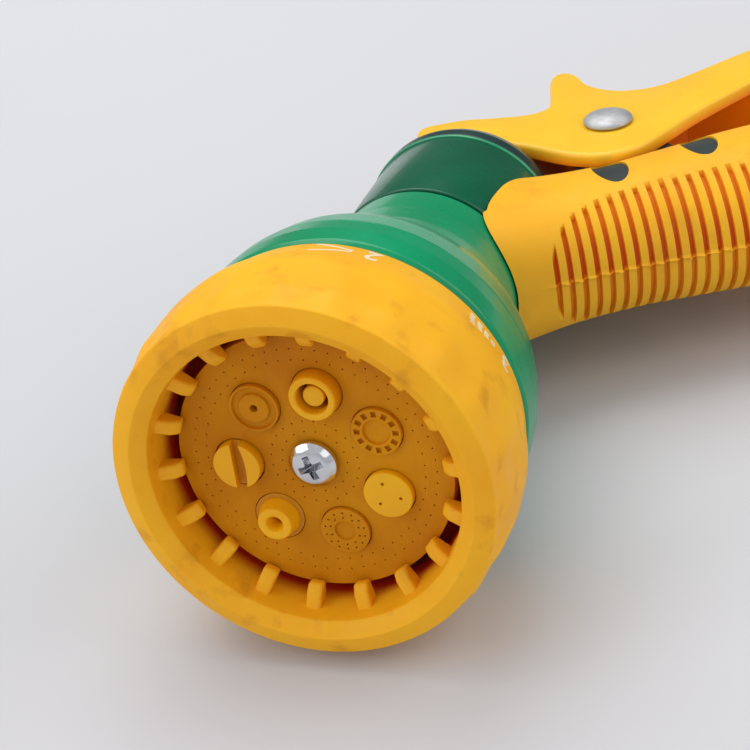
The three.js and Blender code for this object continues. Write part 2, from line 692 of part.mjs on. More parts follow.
/** Thin slanting walls that stiffen the lever's channel, each ending a little below its front edges. */
function leverBraces() {
  const walls = [
    [[-116, -32.5], [-119.5, -45]], [[-127, -41.5], [-128, -52]], [[-137, -50.5], [-135.5, -58.5]],
    [[-146, -60.5], [-142, -65]],
  ];
  const halfThickness = 0.7;
  return walls.map(toVectors).map(([start, end]) => {
    const along = end.clone().sub(start);
    const side = new THREE.Vector2(-along.y, along.x).setLength(halfThickness);
    const nearEdge = [start.clone().add(side), start.clone().sub(side)];
    const farEdge = [end.clone().sub(side), end.clone().add(side)];
    return extrudeY(new THREE.Shape([...nearEdge, ...farEdge]), leverHalfWidth - leverWall + 0.4);
  });
}

function lever() {
  const blank = extrudeY(leverShape(), leverHalfWidth, 2);
  const channel = extrudeY(leverChannel(), leverHalfWidth - leverWall, 1);
  const rivetHole = new THREE.CylinderGeometry(2.6, 2.6, 40, 16).translate(pivot.x, 0, pivot.z);
  const stemSlot = new THREE.BoxGeometry(16, 6, 15).translate(-101, 0, 1);
  const hollow = carve(blank, [channel]);
  return piece("lever", carve(hollow, [rivetHole, stemSlot], leverBraces()), leverYellow());
}

/** Steel rivet through the lever's sides and the handle's lug, with a domed head at each end. */
function pivotRivet() {
  const underHead = leverHalfWidth + gap;
  const headRadius = 4.3;
  const dome = [[underHead, headRadius], [underHead + 0.7, 4], [underHead + 1.3, 3], [underHead + 1.6, 1.6]];
  const mirrored = dome.map(([along, radius]) => [-along, radius]).reverse();
  const profile = [
    [-underHead - 1.7, 0], ...mirrored, [-underHead, 2.3], [underHead, 2.3], ...dome, [underHead + 1.7, 0],
  ];
  return piece("pivot_rivet", turned(profile, 16).translate(pivot.x, 0, pivot.z), steel());
}

// ---------------------------------------------------------------- the whole nozzle
const held = new THREE.Group();
held.add(dial(), centerScrew(), outletSeal(), detentBall(), detentSpring());
held.add(barrelHousing(), bellCover(), rearCap(), stemOring(), packingNut(), valveSeat(), valveSpring());
held.add(valveStem(), valveWasher(), stemNut());
held.add(handle(), lever(), pivotRivet());

// Lay it down: spray towards -Y, handle towards +X, then level the plane it rests on.
const toLever = restOnLever.clone().sub(restOnBell);
const toCoupling = restOnCoupling.clone().sub(restOnBell);
const floorNormal = toLever.cross(toCoupling).normalize();
if (floorNormal.y < 0) floorNormal.negate();
const layDown = new THREE.Matrix4().makeBasis(axisY.clone().negate(), axisZ, axisX.clone().negate());
const normalWhenLaid = floorNormal.applyMatrix4(layDown);
const level = new THREE.Quaternion().setFromUnitVectors(normalWhenLaid, axisZ);
held.quaternion.setFromRotationMatrix(layDown).premultiply(level);

const group = new THREE.Group();
group.add(held);
group.updateMatrixWorld(true);
const box = new THREE.Box3().setFromObject(group, true);
const middle = box.getCenter(new THREE.Vector3());
held.position.set(-middle.x, -middle.y, -box.min.z);

export default group;
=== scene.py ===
"""Hose spray nozzle: the looks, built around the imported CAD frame.

Lengths are in millimetres in the "held" frame, the way the nozzle is held in use: +X is the spray
direction, +Y is the flank that faces up when it lies down, and +Z is up. The origin is the centre of
the face plate's front. The handle has a frame of its own: +X is the grip's front and +Z runs up it.
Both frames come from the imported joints, and every mesh is moved to the row frame once it is finished.
"""

import json
import math

import bmesh
import bpy
from mathutils import Matrix, Vector


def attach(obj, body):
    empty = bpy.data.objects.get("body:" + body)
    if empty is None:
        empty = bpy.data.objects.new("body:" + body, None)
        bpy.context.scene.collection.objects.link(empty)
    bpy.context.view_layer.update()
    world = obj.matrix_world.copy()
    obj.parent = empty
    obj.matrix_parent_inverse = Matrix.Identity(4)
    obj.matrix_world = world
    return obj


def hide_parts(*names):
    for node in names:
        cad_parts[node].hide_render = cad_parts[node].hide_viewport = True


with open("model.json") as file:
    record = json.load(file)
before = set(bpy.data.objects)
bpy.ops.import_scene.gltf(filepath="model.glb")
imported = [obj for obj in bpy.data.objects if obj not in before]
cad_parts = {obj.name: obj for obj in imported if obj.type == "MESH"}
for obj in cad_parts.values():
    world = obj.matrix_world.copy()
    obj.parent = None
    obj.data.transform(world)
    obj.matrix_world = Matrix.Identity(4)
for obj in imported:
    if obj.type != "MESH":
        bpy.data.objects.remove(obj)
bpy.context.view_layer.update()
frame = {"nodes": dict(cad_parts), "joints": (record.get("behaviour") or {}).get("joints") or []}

# ---------------------------------------------------------------- frames taken from the joints
MM = 0.001
joints = {joint["name"]: joint for joint in frame["joints"]}
spray = Vector(joints["dial_spin"]["axis"]).normalized()
flank = -Vector(joints["lever_squeeze"]["axis"]).normalized()
upward = spray.cross(flank)


def frame_matrix(x_axis, y_axis, z_axis, place):
    """From a right-handed frame in millimetres to the row frame in metres."""
    columns = Matrix((x_axis, y_axis, z_axis)).transposed()
    return Matrix.Translation(place) @ columns.to_4x4() @ Matrix.Scale(MM, 4)


HELD = frame_matrix(spray, flank, upward, Vector(joints["dial_spin"]["pos_m"]))

COUPLING_END = 151               # distance down the handle of the coupling's end face
down_handle = Vector(joints["coupling_spin"]["axis"]).normalized()
handle_top = Vector(joints["coupling_spin"]["pos_m"]) - down_handle * COUPLING_END * MM
HANDLE = frame_matrix(flank.cross(-down_handle), flank, -down_handle, handle_top)
handle_place = HELD.inverted() @ handle_top

pivot = HELD.inverted() @ Vector(joints["lever_squeeze"]["pos_m"])
pivot_in_handle = HANDLE.inverted() @ Vector(joints["lever_squeeze"]["pos_m"])
HELD_IN_HANDLE = HANDLE.inverted() @ HELD

# ---------------------------------------------------------------- driving dimensions
DIAL_RADIUS = 30.4
RECESS_DEPTH = 7.6
DIAL_REAR = -15.8
SCALLOPS = 22
SCALLOP_DEPTH = 0.42
RIBS = 18
FIRST_RIB = math.radians(13)
PLATE_RADIUS = 21.4
PLATE_THICKNESS = 2.6
PORTS = 7
PORT_CIRCLE = 12
PORT_RADIUS = 3.85
PORT_CLEARANCE = 0.12
FIRST_PORT = math.radians(41)
BARREL_RADIUS = 16.6
NECK_REAR = -58.6
BARREL_REAR = -80.3
GRIP_END = 126
GRIP_WALL = 2.4
COLLAR_TOP = -10.1
LEVER_HALF_WIDTH = 11.5
LEVER_WALL = 2.4
COUPLING_RADIUS = 16.8
LUG_HALF_WIDTH = 8.7
RIVET_HOLE = 2.6
DETENT_CIRCLE = 20               # how far the click stop is from the spray axis
THROUGH = 20                     # half length of a bar that cuts right through the handle or lever
GAP = 0.3                        # between two pieces that touch

BODY_ROUND = 160                 # segments of a round piece, from the largest to the smallest
ROUND = 128
SMALL_ROUND = 64
HOLE_ROUND = 32
PIN_ROUND = 8
AUTO_SMOOTH = math.radians(32)   # an edge sharper than this is drawn as an edge


# ---------------------------------------------------------------- mesh helpers
def to_object(name, bm, matrix=HELD):
    """A finished bmesh as an object in the row frame, smooth where its faces nearly line up."""
    bmesh.ops.recalc_face_normals(bm, faces=bm.faces)
    mesh = bpy.data.meshes.new(name)
    bm.to_mesh(mesh)
    bm.free()
    mesh.transform(matrix)
    mesh.shade_smooth()
    mesh.set_sharp_from_angle(angle=AUTO_SMOOTH)
    obj = bpy.data.objects.new(name, mesh)
    bpy.context.scene.collection.objects.link(obj)
    return obj


def rounded(profile, steps=4):
    """A closed profile of (x, radius) or (x, radius, fillet) points, with each fillet as an arc."""
    result = []
    count = len(profile)
    for i, point in enumerate(profile):
        here = Vector(point[:2])
        fillet = point[2] if len(point) > 2 else 0
        if not fillet:
            result.append(here)
            continue
        before = Vector(profile[i - 1][:2]) - here
        after = Vector(profile[(i + 1) % count][:2]) - here
        half = before.angle(after) / 2
        reach = min(fillet / math.tan(half), 0.49 * before.length, 0.49 * after.length)
        radius = reach * math.tan(half)
        middle = (before.normalized() + after.normalized()).normalized()
        centre = here + middle * (radius / math.sin(half))
        start = here + before.normalized() * reach - centre
        end = here + after.normalized() * reach - centre
        for k in range(steps + 1):
            arm = start.lerp(end, k / steps).normalized() * radius
            result.append(centre + arm)
    return [(p.x, p.y) for p in result]


def lathe(profile, segments=ROUND, warp=None, axis="X"):
    """A closed profile of (along, radius) turned about an axis, with warp giving each point's radius."""
    bm = bmesh.new()
    rings = []
    for along, radius in profile:
        if radius < 1e-6:
            rings.append([bm.verts.new(on_axis(along, 0, 0, axis))] * segments)
            continue
        ring = []
        for k in range(segments):
            angle = 2 * math.pi * k / segments
            reach = warp(along, radius, angle) if warp else radius
            ring.append(bm.verts.new(on_axis(along, reach, angle, axis)))
        rings.append(ring)
    for ring, following in zip(rings, rings[1:] + rings[:1]):
        for k in range(segments):
            corners = [ring[k], ring[k - 1], following[k - 1], following[k]]
            distinct = list(dict.fromkeys(corners))
            if len(distinct) > 2:
                bm.faces.new(distinct)
    return bm


def polar(radius, angle):
    return radius * math.cos(angle), radius * math.sin(angle)


def fractions(count):
    """Evenly spaced angles of a full turn."""
    return [2 * math.pi * k / count for k in range(count)]


def on_axis(along, radius, angle, axis):
    """A point at an angle round the X axis (from +Y to +Z) or the Z axis (from +X to +Y)."""
    across, beyond = polar(radius, angle)
    return (along, across, beyond) if axis == "X" else (across, beyond, along)


def move(bm, x=0, y=0, z=0):
    bmesh.ops.translate(bm, verts=bm.verts, vec=(x, y, z))
    return bm


def spin(bm, angle, axis="X", centre=(0, 0, 0)):
    bmesh.ops.rotate(bm, verts=bm.verts, cent=centre, matrix=Matrix.Rotation(angle, 3, axis))
    return bm


def bar(start, end, radius, segments=HOLE_ROUND, axis="X"):
    """A plain round bar along an axis."""
    return lathe([(start, 0), (start, radius), (end, radius), (end, 0)], segments, axis=axis)


def block(low, high):
    """A box between two opposite corners, for cutting with."""
    bm = bmesh.new()
    bmesh.ops.create_cube(bm, size=1)
    size = Vector(high) - Vector(low)
    bmesh.ops.scale(bm, vec=size, verts=bm.verts)
    bmesh.ops.translate(bm, vec=(Vector(high) + Vector(low)) / 2, verts=bm.verts)
    return bm


def join(*parts):
    """Several bmeshes as one, side by side."""
    whole = bmesh.new()
    for part in parts:
        mesh = bpy.data.meshes.new("part")
        part.to_mesh(mesh)
        part.free()
        whole.from_mesh(mesh)
        bpy.data.meshes.remove(mesh)
    return whole


def boolean(obj, operation, tool):
    """Cuts or joins obj, which is in the row frame, with another object, which is then removed."""
    modifier = obj.modifiers.new("boolean", "BOOLEAN")
    modifier.operation = operation
    modifier.solver = "EXACT"
    modifier.object = tool
    evaluated = obj.evaluated_get(bpy.context.evaluated_depsgraph_get())
    mesh = bpy.data.meshes.new_from_object(evaluated)
    obj.modifiers.clear()
    obj.data = mesh
    mesh.shade_smooth()
    mesh.set_sharp_from_angle(angle=AUTO_SMOOTH)
    bpy.data.objects.remove(tool)
    return obj


def cut(obj, *tools, matrix=HELD):
    """Takes each tool away from the object."""
    for tool in tools:
        boolean(obj, "DIFFERENCE", to_object("tool", tool, matrix))
    return obj


def fuse(obj, *tools, matrix=HELD):
    """Adds each tool to the object as one solid."""
    for tool in tools:
        boolean(obj, "UNION", to_object("tool", tool, matrix))
    return obj


def curve_to_bmesh(curve, merge):
    """The filled mesh of a curve, with points closer than merge made one."""
    obj = bpy.data.objects.new(curve.name, curve)
    bpy.context.scene.collection.objects.link(obj)
    mesh = bpy.data.meshes.new_from_object(obj.evaluated_get(bpy.context.evaluated_depsgraph_get()))
    bpy.data.objects.remove(obj)
    bm = bmesh.new()
    bm.from_mesh(mesh)
    bpy.data.meshes.remove(mesh)
    bmesh.ops.remove_doubles(bm, verts=bm.verts, dist=merge)
    return bm


def outline_solid(loops, half_depth, bevel=0.0, to_axes=Matrix.Identity(4)):
    """Flat closed loops of (u, v) filled and thickened both ways along w, with rounded edges."""
    curve = bpy.data.curves.new("outline", "CURVE")
    curve.dimensions = "2D"
    curve.fill_mode = "BOTH"
    curve.extrude = half_depth - bevel
    curve.bevel_depth = bevel
    curve.bevel_resolution = 3
    curve.offset = -bevel
    for loop in loops:
        spline = curve.splines.new("POLY")
        spline.points.add(len(loop) - 1)
        for point, (u, v) in zip(spline.points, loop):
            point.co = (u, v, 0, 1)
        spline.use_cyclic_u = True
    bm = curve_to_bmesh(curve, 1e-4)
    bm.transform(to_axes)
    return bm


# How a flat outline's own u, v and thickness lie in a frame of X, Y, Z.
FACING_X = Matrix(((0, 0, 1, 0), (1, 0, 0, 0), (0, 1, 0, 0), (0, 0, 0, 1)))    # u along Y, v along Z
FACING_Y = Matrix(((1, 0, 0, 0), (0, 0, -1, 0), (0, 1, 0, 0), (0, 0, 0, 1)))   # u along X, v along Z


def ellipse(half_u, half_v, u, v, count=48):
    return [(u + half_u * math.cos(a), v + half_v * math.sin(a)) for a in fractions(count)]


def circle(radius, u=0.0, v=0.0, count=SMALL_ROUND):
    return ellipse(radius, radius, u, v, count)


def catmull_rom(before, start, end, after, t):
    """A value between start and end, smooth through all four."""
    square = 2 * before - 5 * start + 4 * end - after
    cube = 3 * start - before - 3 * end + after
    return 0.5 * (2 * start + (end - before) * t + square * t ** 2 + cube * t ** 3)


def spline_through(points, steps=10):
    """A smooth curve through the points (uniform Catmull-Rom, ends held)."""
    padded = [points[0]] + list(points) + [points[-1]]
    result = []
    for rows in zip(padded, padded[1:], padded[2:], padded[3:]):
        for k in range(steps):
            result.append(tuple(catmull_rom(*values, k / steps) for values in zip(*rows)))
    result.append(tuple(points[-1]))
    return result


def bend(start, control, end, steps=8):
    """A quadratic curve from start to end, without its first point."""
    result = []
    for k in range(1, steps + 1):
        t = k / steps
        shares = ((1 - t) ** 2, 2 * t * (1 - t), t ** 2)
        columns = zip(start, control, end)
        result.append(tuple(sum(s * v for s, v in zip(shares, values)) for values in columns))
    return result


def smoothstep(low, high, value):
    """From 0 at low to 1 at high, level at both ends."""
    t = min(max((value - low) / (high - low), 0.0), 1.0)
    return t * t * (3 - 2 * t)


def paint(obj, name, rule, matrix=HELD):
    """Stores a number at every vertex, worked out from its place in millimetres."""
    back = matrix.inverted()
    layer = obj.data.attributes.new(name, "FLOAT", "POINT")
    for vertex, item in zip(obj.data.vertices, layer.data):
        item.value = rule(back @ vertex.co)
    return obj


def finish_piece(obj, body, slot, material, *nodes):
    """Puts a piece on its body, in place of its CAD node, with its material."""
    obj.data.materials.clear()
    obj.data.materials.append(material)
    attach(obj, body)
    if nodes:
        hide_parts(*nodes)
    return obj


# ---------------------------------------------------------------- materials
def linear(red, green, blue):
    """An sRGB colour, 0 to 255, as linear red, green, blue and alpha."""
    def decode(value):
        value /= 255
        return value / 12.92 if value <= 0.04045 else ((value + 0.055) / 1.055) ** 2.4
    return (decode(red), decode(green), decode(blue), 1.0)


# How far red, green and blue light travel inside the yellow plastic, in metres.
GLOW = (0.004, 0.0016, 0.0004)


class Surface:
    """A material whose patterns are measured in millimetres on the piece itself."""

    def __init__(self, name):
        self.material = bpy.data.materials.new(name)
        self.material.use_nodes = True
        self.tree = self.material.node_tree
        self.shader = self.tree.nodes["Principled BSDF"]
        coordinates = self.tree.nodes.new("ShaderNodeTexCoord")
        scale = self.tree.nodes.new("ShaderNodeVectorMath")
        scale.operation = "SCALE"
        scale.inputs["Scale"].default_value = 1 / MM
        self.tree.links.new(coordinates.outputs["Object"], scale.inputs[0])
        self.place = scale.outputs[0]

    def set(self, **values):
        for socket, value in values.items():
            self.shader.inputs[socket.replace("_", " ")].default_value = value
        return self

    def link(self, output, socket):
        self.tree.links.new(output, self.shader.inputs[socket])
        return self

    def noise(self, size, detail=3.0, stretch=(1, 1, 1)):
        """Soft noise, about 0 to 1, whose blotches are about size millimetres across."""
        mapping = self.tree.nodes.new("ShaderNodeMapping")
        mapping.inputs["Scale"].default_value = stretch
        self.tree.links.new(self.place, mapping.inputs["Vector"])
        node = self.tree.nodes.new("ShaderNodeTexNoise")
        node.inputs["Scale"].default_value = 1 / size
        node.inputs["Detail"].default_value = detail
        self.tree.links.new(mapping.outputs[0], node.inputs["Vector"])
        return node.outputs["Fac"]

    def between(self, fac, low, high, start=0.3, end=0.7):
        """Blends two colours, or two numbers, as fac goes from start to end."""
        if isinstance(low, tuple):
            ramp = self.tree.nodes.new("ShaderNodeValToRGB")
            ramp.color_ramp.elements[0].position = start
            ramp.color_ramp.elements[0].color = low
            ramp.color_ramp.elements[1].position = end
            ramp.color_ramp.elements[1].color = high
            self.tree.links.new(fac, ramp.inputs[0])
            return ramp.outputs[0]
        span = self.tree.nodes.new("ShaderNodeMapRange")
        for socket, value in zip(("From Min", "From Max", "To Min", "To Max"), (start, end, low, high)):
            span.inputs[socket].default_value = value
        self.tree.links.new(fac, span.inputs["Value"])
        return span.outputs["Result"]

    def mix(self, fac, first, second):
        """Mixes two colour outputs by fac."""
        node = self.tree.nodes.new("ShaderNodeMix")
        node.data_type = "RGBA"
        self.tree.links.new(fac, node.inputs["Factor"])
        for socket, value in (("A", first), ("B", second)):
            target = next(s for s in node.inputs if s.name == socket and s.type == "RGBA")
            if isinstance(value, tuple):
                target.default_value = value
            else:
                self.tree.links.new(value, target)
        return next(s for s in node.outputs if s.type == "RGBA")

    def attribute(self, name):
        node = self.tree.nodes.new("ShaderNodeAttribute")
        node.attribute_name = name
        return node.outputs["Fac"]

    def glow(self, weight, scale=1.0):
        """Lets some light travel inside the plastic."""
        return self.set(Subsurface_Weight=weight, Subsurface_Radius=GLOW, Subsurface_Scale=scale)

    def bump(self, height, depth):
        """Raises the surface by depth millimetres where height is 1."""
        node = self.tree.nodes.new("ShaderNodeBump")
        node.inputs["Distance"].default_value = depth * MM
        self.tree.links.new(height, node.inputs["Height"])
        return self.link(node.outputs["Normal"], "Normal")


def moulded(name, light, dark, roughness, grain, depth, patch=14.0):
    """Moulded plastic: faint colour patches, uneven gloss and a fine grain."""
    surface = Surface(name)
    patches = surface.noise(patch, detail=4.0)
    surface.link(surface.between(patches, dark, light), "Base Color")
    sheen = surface.noise(patch / 3, detail=5.0)
    surface.link(surface.between(sheen, roughness * 0.85, roughness * 1.15), "Roughness")
    surface.bump(surface.noise(grain, detail=2.0), depth)
    return surface


def tinted(surface, attribute, light, dark, deep):
    """A patchy colour that turns to the deep one where the attribute is 1."""
    plain = surface.between(surface.noise(14.0, detail=4.0), dark, light)
    surface.link(surface.mix(surface.attribute(attribute), plain, deep), "Base Color")


def stained(surface, colour, size, amount):
    """Faint smudges of another colour over the base colour that is already linked."""
    plain = surface.shader.inputs["Base Color"].links[0].from_socket
    smudge = surface.between(surface.noise(size, detail=6.0), 0.0, amount, start=0.58, end=0.72)
    surface.link(surface.mix(smudge, plain, colour), "Base Color")


def soft_yellow():
    """The dial's soft yellow, with painted shade in deep red down in its slots, and smudged by handling."""
    surface = moulded("soft yellow", linear(252, 186, 24), linear(246, 172, 16), 0.55, 0.35, 0.02)
    # painted shade: the deep red in the slots stands in for the dim light down between the ribs
    tinted(surface, "slot", linear(252, 186, 24), linear(246, 172, 16), linear(214, 50, 0))
    stained(surface, linear(190, 116, 14), 5.0, 0.4)
    surface.set(Specular_IOR_Level=0.3)
    surface.glow(0.12)
    return surface.material


def grip_yellow():
    """The soft yellow of the grip, with painted shade in deep orange where its grooves are deep."""
    surface = Surface("grip yellow")
    # painted shade: deep orange on the groove floors, by the painted groove shade attribute
    tinted(surface, "groove", linear(252, 186, 30), linear(246, 173, 22), linear(222, 92, 2))
    stained(surface, linear(206, 136, 28), 9.0, 0.35)
    surface.link(surface.between(surface.noise(5.0), 0.45, 0.6), "Roughness")
    surface.bump(surface.noise(0.35, detail=2.0), 0.02)
    surface.set(Specular_IOR_Level=0.3)
    surface.glow(0.1)
    return surface.material


def plate_yellow():
    """The face plate's deeper yellow."""
    surface = moulded("plate yellow", linear(214, 142, 4), linear(196, 120, 2), 0.6, 0.22, 0.012)
    surface.set(Specular_IOR_Level=0.15)
    surface.glow(0.1)
    return surface.material


def outlet_yellow():
    """The raised outlets' bright yellow, the plate's colour where they are flush with it."""
    surface = moulded("outlet yellow", linear(248, 184, 8), linear(240, 168, 6), 0.42, 0.25, 0.008)
    tinted(surface, "flush", linear(248, 184, 8), linear(240, 168, 6), linear(206, 132, 3))
    surface.set(Specular_IOR_Level=0.3)
    surface.glow(0.2)
    return surface.material


def painted_shade_orange():
    """The plate's plastic where little light reaches it, at the bottom of the dial, coloured deep orange as
    painted shade.
    """
    surface = moulded("painted shade orange", linear(214, 62, 0), linear(196, 50, 0), 0.6, 0.3, 0.01)
    surface.set(Specular_IOR_Level=0.15)
    return surface.material


def lever_yellow():
    """The lever's glossy yellow, with painted shade in orange inside its channel."""
    surface = moulded("lever yellow", linear(253, 202, 60), linear(251, 194, 50), 0.34, 1.2, 0.006)
    # painted shade: orange on the channel's inner walls, by the "inside" attribute
    tinted(surface, "inside", linear(253, 200, 46), linear(251, 191, 38), linear(252, 138, 0))
    surface.set(Specular_IOR_Level=0.35, Coat_Weight=0.12, Coat_Roughness=0.2)
    surface.glow(0.15, scale=1.5)
    return surface.material


def glossy(name, light, dark, roughness, specular, coat, coat_roughness):
    """Polished plastic with a clear coat."""
    surface = moulded(name, light, dark, roughness, 0.9, 0.003, patch=18.0)
    surface.set(Specular_IOR_Level=specular, Coat_Weight=coat, Coat_Roughness=coat_roughness)
    return surface.material


def body_green():
    return glossy("body green", linear(0, 156, 104), linear(0, 138, 88), 0.3, 0.3, 0.25, 0.05)


def dark_green():
    return glossy("dark green", linear(0, 98, 66), linear(0, 82, 55), 0.28, 0.3, 0.3, 0.06)


# A brighter green than the barrel: a painted highlight for the barrel's rear bead.
def rim_highlight_green():
    return glossy("painted highlight green", linear(40, 160, 112), linear(30, 142, 98), 0.3, 0.5, 0.6, 0.1)


def shoulder_teal():
    surface = moulded("shoulder teal", linear(30, 58, 54), linear(24, 50, 47), 0.34, 0.5, 0.008)
    surface.set(Specular_IOR_Level=0.4, Coat_Weight=0.2, Coat_Roughness=0.2)
    return surface.material


def dark_core():
    return moulded("dark core", linear(42, 54, 51), linear(34, 45, 43), 0.55, 0.3, 0.03, patch=8.0).material


def black_plastic():
    return moulded("black plastic", linear(34, 34, 34), linear(24, 24, 25), 0.42, 0.4, 0.01).material


def black_rubber():
    return moulded("black rubber", linear(30, 30, 30), linear(20, 20, 21), 0.75, 0.3, 0.03).material


def metal(name, light, dark, roughness, scratch, depth):
    """Bare metal with fine scratches along one way and uneven gloss."""
    surface = Surface(name)
    surface.set(Metallic=1.0)
    surface.link(surface.between(surface.noise(2.5, detail=4.0), dark, light), "Base Color")
    rubbed = surface.noise(scratch, detail=4.0, stretch=(0.15, 1, 1))
    surface.link(surface.between(rubbed, roughness * 0.75, roughness * 1.25), "Roughness")
    surface.bump(rubbed, depth)
    return surface.material


def screw_chrome():
    return metal("screw chrome", linear(225, 225, 228), linear(200, 200, 204), 0.12, 0.4, 0.003)


def satin_steel():
    return metal("satin steel", linear(206, 206, 206), linear(184, 184, 186), 0.6, 0.3, 0.01)


def dark_metal():
    return metal("dark metal", linear(120, 110, 102), linear(96, 88, 82), 0.45, 0.5, 0.01)


def machined_brass():
    return metal("machined brass", linear(206, 172, 96), linear(180, 146, 76), 0.3, 0.3, 0.006)


def white_print():
    return moulded("white print", linear(250, 238, 205), linear(240, 226, 190), 0.4, 0.3, 0.004).material


# ---------------------------------------------------------------- the turning dial
def port_angle(index):
    """An outlet's angle about the spray axis, from +Y towards +Z."""
    return FIRST_PORT - 2 * math.pi * index / PORTS


def port_place(index):
    return polar(PORT_CIRCLE, port_angle(index))


REAR_BAND = -9.4                 # the smooth printed band runs from here to the dial's rear
REAR_BAND_RADIUS = 29.75
REAR_EDGE_RADIUS = 27.9
REAR_BORE = 25.5
INNER_WALL = 24


def scallop(along, radius, angle):
    """Shallow hollows round the outer wall: deepest at the lip, gone before the printed band."""
    if radius < DIAL_RADIUS - 2:
        return radius
    at_front = smoothstep(RECESS_DEPTH - 3.5, RECESS_DEPTH - 0.8, along)
    fade = smoothstep(REAR_BAND + 0.8, 2.0, along) * (1 - at_front)
    wave = (0.5 - 0.5 * math.cos(SCALLOPS * angle)) ** 0.7
    return radius - SCALLOP_DEPTH * fade * wave


def bezel_profile():
    """The ring's section, with its long stretches divided so that the scallops can bend them."""
    lip = RECESS_DEPTH
    longest = 1.2
    corners = [
        (-4, INNER_WALL - 0.7), (lip - 1.5, INNER_WALL + 0.1, 0.5), (lip + 0.1, 26.4, 0.35),
        (lip - 0.9, 29.3, 0.5), (2, DIAL_RADIUS, 6), (-6, DIAL_RADIUS, 8),
        (REAR_BAND, REAR_BAND_RADIUS + 0.12, 0.3), (REAR_BAND - 0.15, REAR_BAND_RADIUS, 0.1),
        (DIAL_REAR, REAR_EDGE_RADIUS, 0.4), (DIAL_REAR, REAR_BORE), (-6, REAR_BORE),
    ]
    outline = rounded(corners, steps=5)
    fine = []
    for (x0, r0), (x1, r1) in zip(outline, outline[1:] + outline[:1]):
        pieces = max(1, round(math.hypot(x1 - x0, r1 - r0) / longest))
        fine += [(x0 + (x1 - x0) * k / pieces, r0 + (r1 - r0) * k / pieces) for k in range(pieces)]
    return fine


def rib(index):
    """One rounded tab from the dial's inner wall down to the plate's edge."""
    half_width = 1.2
    foot = INNER_WALL + 0.6
    side = rounded([(0.4, 20.7, 0.2), (1.9, 20.4, 0.7), (3.0, 21.6, 1.2), (3.9, foot), (0.4, foot)])
    bm = outline_solid([side], half_width, bevel=0.5, to_axes=FACING_Y)
    return spin(bm, FIRST_RIB + 2 * math.pi * index / RIBS - math.pi / 2)


def slot_painted_shade(point):
    """How much painted shade a place on the ring's inner wall gets between the ribs: 0 to 1, more the deeper
    it lies.
    """
    return 1 - smoothstep(-1.5, 0.9, point.x) if math.hypot(point.y, point.z) < INNER_WALL + 1 else 0


def bezel_ring(material):
    """The dial's scalloped outer ring, with tabs that reach in to the face plate."""
    segments_each = 14
    ring = to_object("dial_bezel", lathe(bezel_profile(), SCALLOPS * segments_each, scallop))
    fuse(ring, join(*[rib(index) for index in range(RIBS)]))
    # the "slot" attribute carries the painted shade of the slots between the ribs
    paint(ring, "slot", slot_painted_shade)
    return finish_piece(ring, "dial", "soft_yellow", material, "bezel_ring")


PIN_ROWS = [(5.1, 18), (6.8, 24), (17.0, 54), (18.8, 60)]    # radius and count of the fine shower holes
PIN_RADIUS = 0.14
PIN_MARGIN = 0.9                 # least distance from a fine hole to an outlet's edge
SCREW_HOLE = 2.3


def face_plate(material):
    """The flat plate with its seven seats and rows of fine holes."""
    ports = [port_place(index) for index in range(PORTS)]
    loops = [circle(PLATE_RADIUS, count=ROUND), circle(SCREW_HOLE)]
    loops += [circle(PORT_RADIUS + PORT_CLEARANCE, y, z) for y, z in ports]
    for radius, count in PIN_ROWS:
        for k in range(count):
            y, z = polar(radius, 2 * math.pi * (k + 0.5) / count)
            if min(math.hypot(y - a, z - b) for a, b in ports) > PORT_RADIUS + PIN_MARGIN:
                loops.append(circle(PIN_RADIUS, y, z, count=PIN_ROUND))
    plate = outline_solid(loops, PLATE_THICKNESS / 2, bevel=0.04, to_axes=FACING_X)
    move(plate, x=-PLATE_THICKNESS / 2)
    return finish_piece(to_object("dial_face", plate), "dial", "plate_yellow", material, "face_plate")


INSERT_BACK = -2.4               # where every outlet insert ends inside the dial
FLUSH_HEIGHT = 0.2               # below this an outlet is the plate's colour


def outlet(name, index, profile, slot, material, node, cuts=()):
    """An outlet insert turned about its own axis, standing at its station on the plate."""
    y, z = port_place(index)
    obj = to_object(name, move(lathe(rounded(profile), SMALL_ROUND), y=y, z=z))
    for tool in cuts:
        cut(obj, move(tool, y=y, z=z))
    paint(obj, "flush", lambda p: 1.0 if p.x < FLUSH_HEIGHT else 0.0)
    return finish_piece(obj, "dial", slot, material, node)


def outlet_rings(material):
    """Concentric rings with a pinhole."""
    profile = [
        (INSERT_BACK, 0.6), (INSERT_BACK, PORT_RADIUS), (0.8, PORT_RADIUS, 0.12), (0.8, 3.5, 0.12),
        (0.25, 3.4), (0.25, 2.45), (0.75, 2.3, 0.15), (0.75, 0.6, 0.08),
    ]
    outlet("outlet_0", 0, profile, "plate_yellow", material, "outlet_rings")


def outlet_cone(material):
    """A tall ring with a pin standing in it."""
    ring = [
        (INSERT_BACK, 2.35), (INSERT_BACK, PORT_RADIUS), (0.1, PORT_RADIUS), (2.4, 3.55, 0.35),
        (2.4, 2.5, 0.3),
    ]
    outlet("outlet_1", 1, ring, "outlet_yellow", material, "outlet_cone")
    core = [(INSERT_BACK, 0), (INSERT_BACK, 1.65), (1.5, 1.65, 0.2), (1.5, 0)]
    outlet("outlet_1_core", 1, core, "outlet_yellow", material, "cone_core")


def outlet_windows(material):
    """A flat ring of radial windows."""
    profile = [
        (INSERT_BACK, 0), (INSERT_BACK, PORT_RADIUS), (0.7, PORT_RADIUS, 0.12), (0.7, 2.1, 0.12),
        (0.25, 2.0), (0.25, 0),
    ]
    windows = [spin(block((0.1, 2.5, -0.42), (1.5, 3.45, 0.42)), angle) for angle in fractions(12)]
    outlet("outlet_2", 2, profile, "plate_yellow", material, "outlet_windows", [join(*windows)])


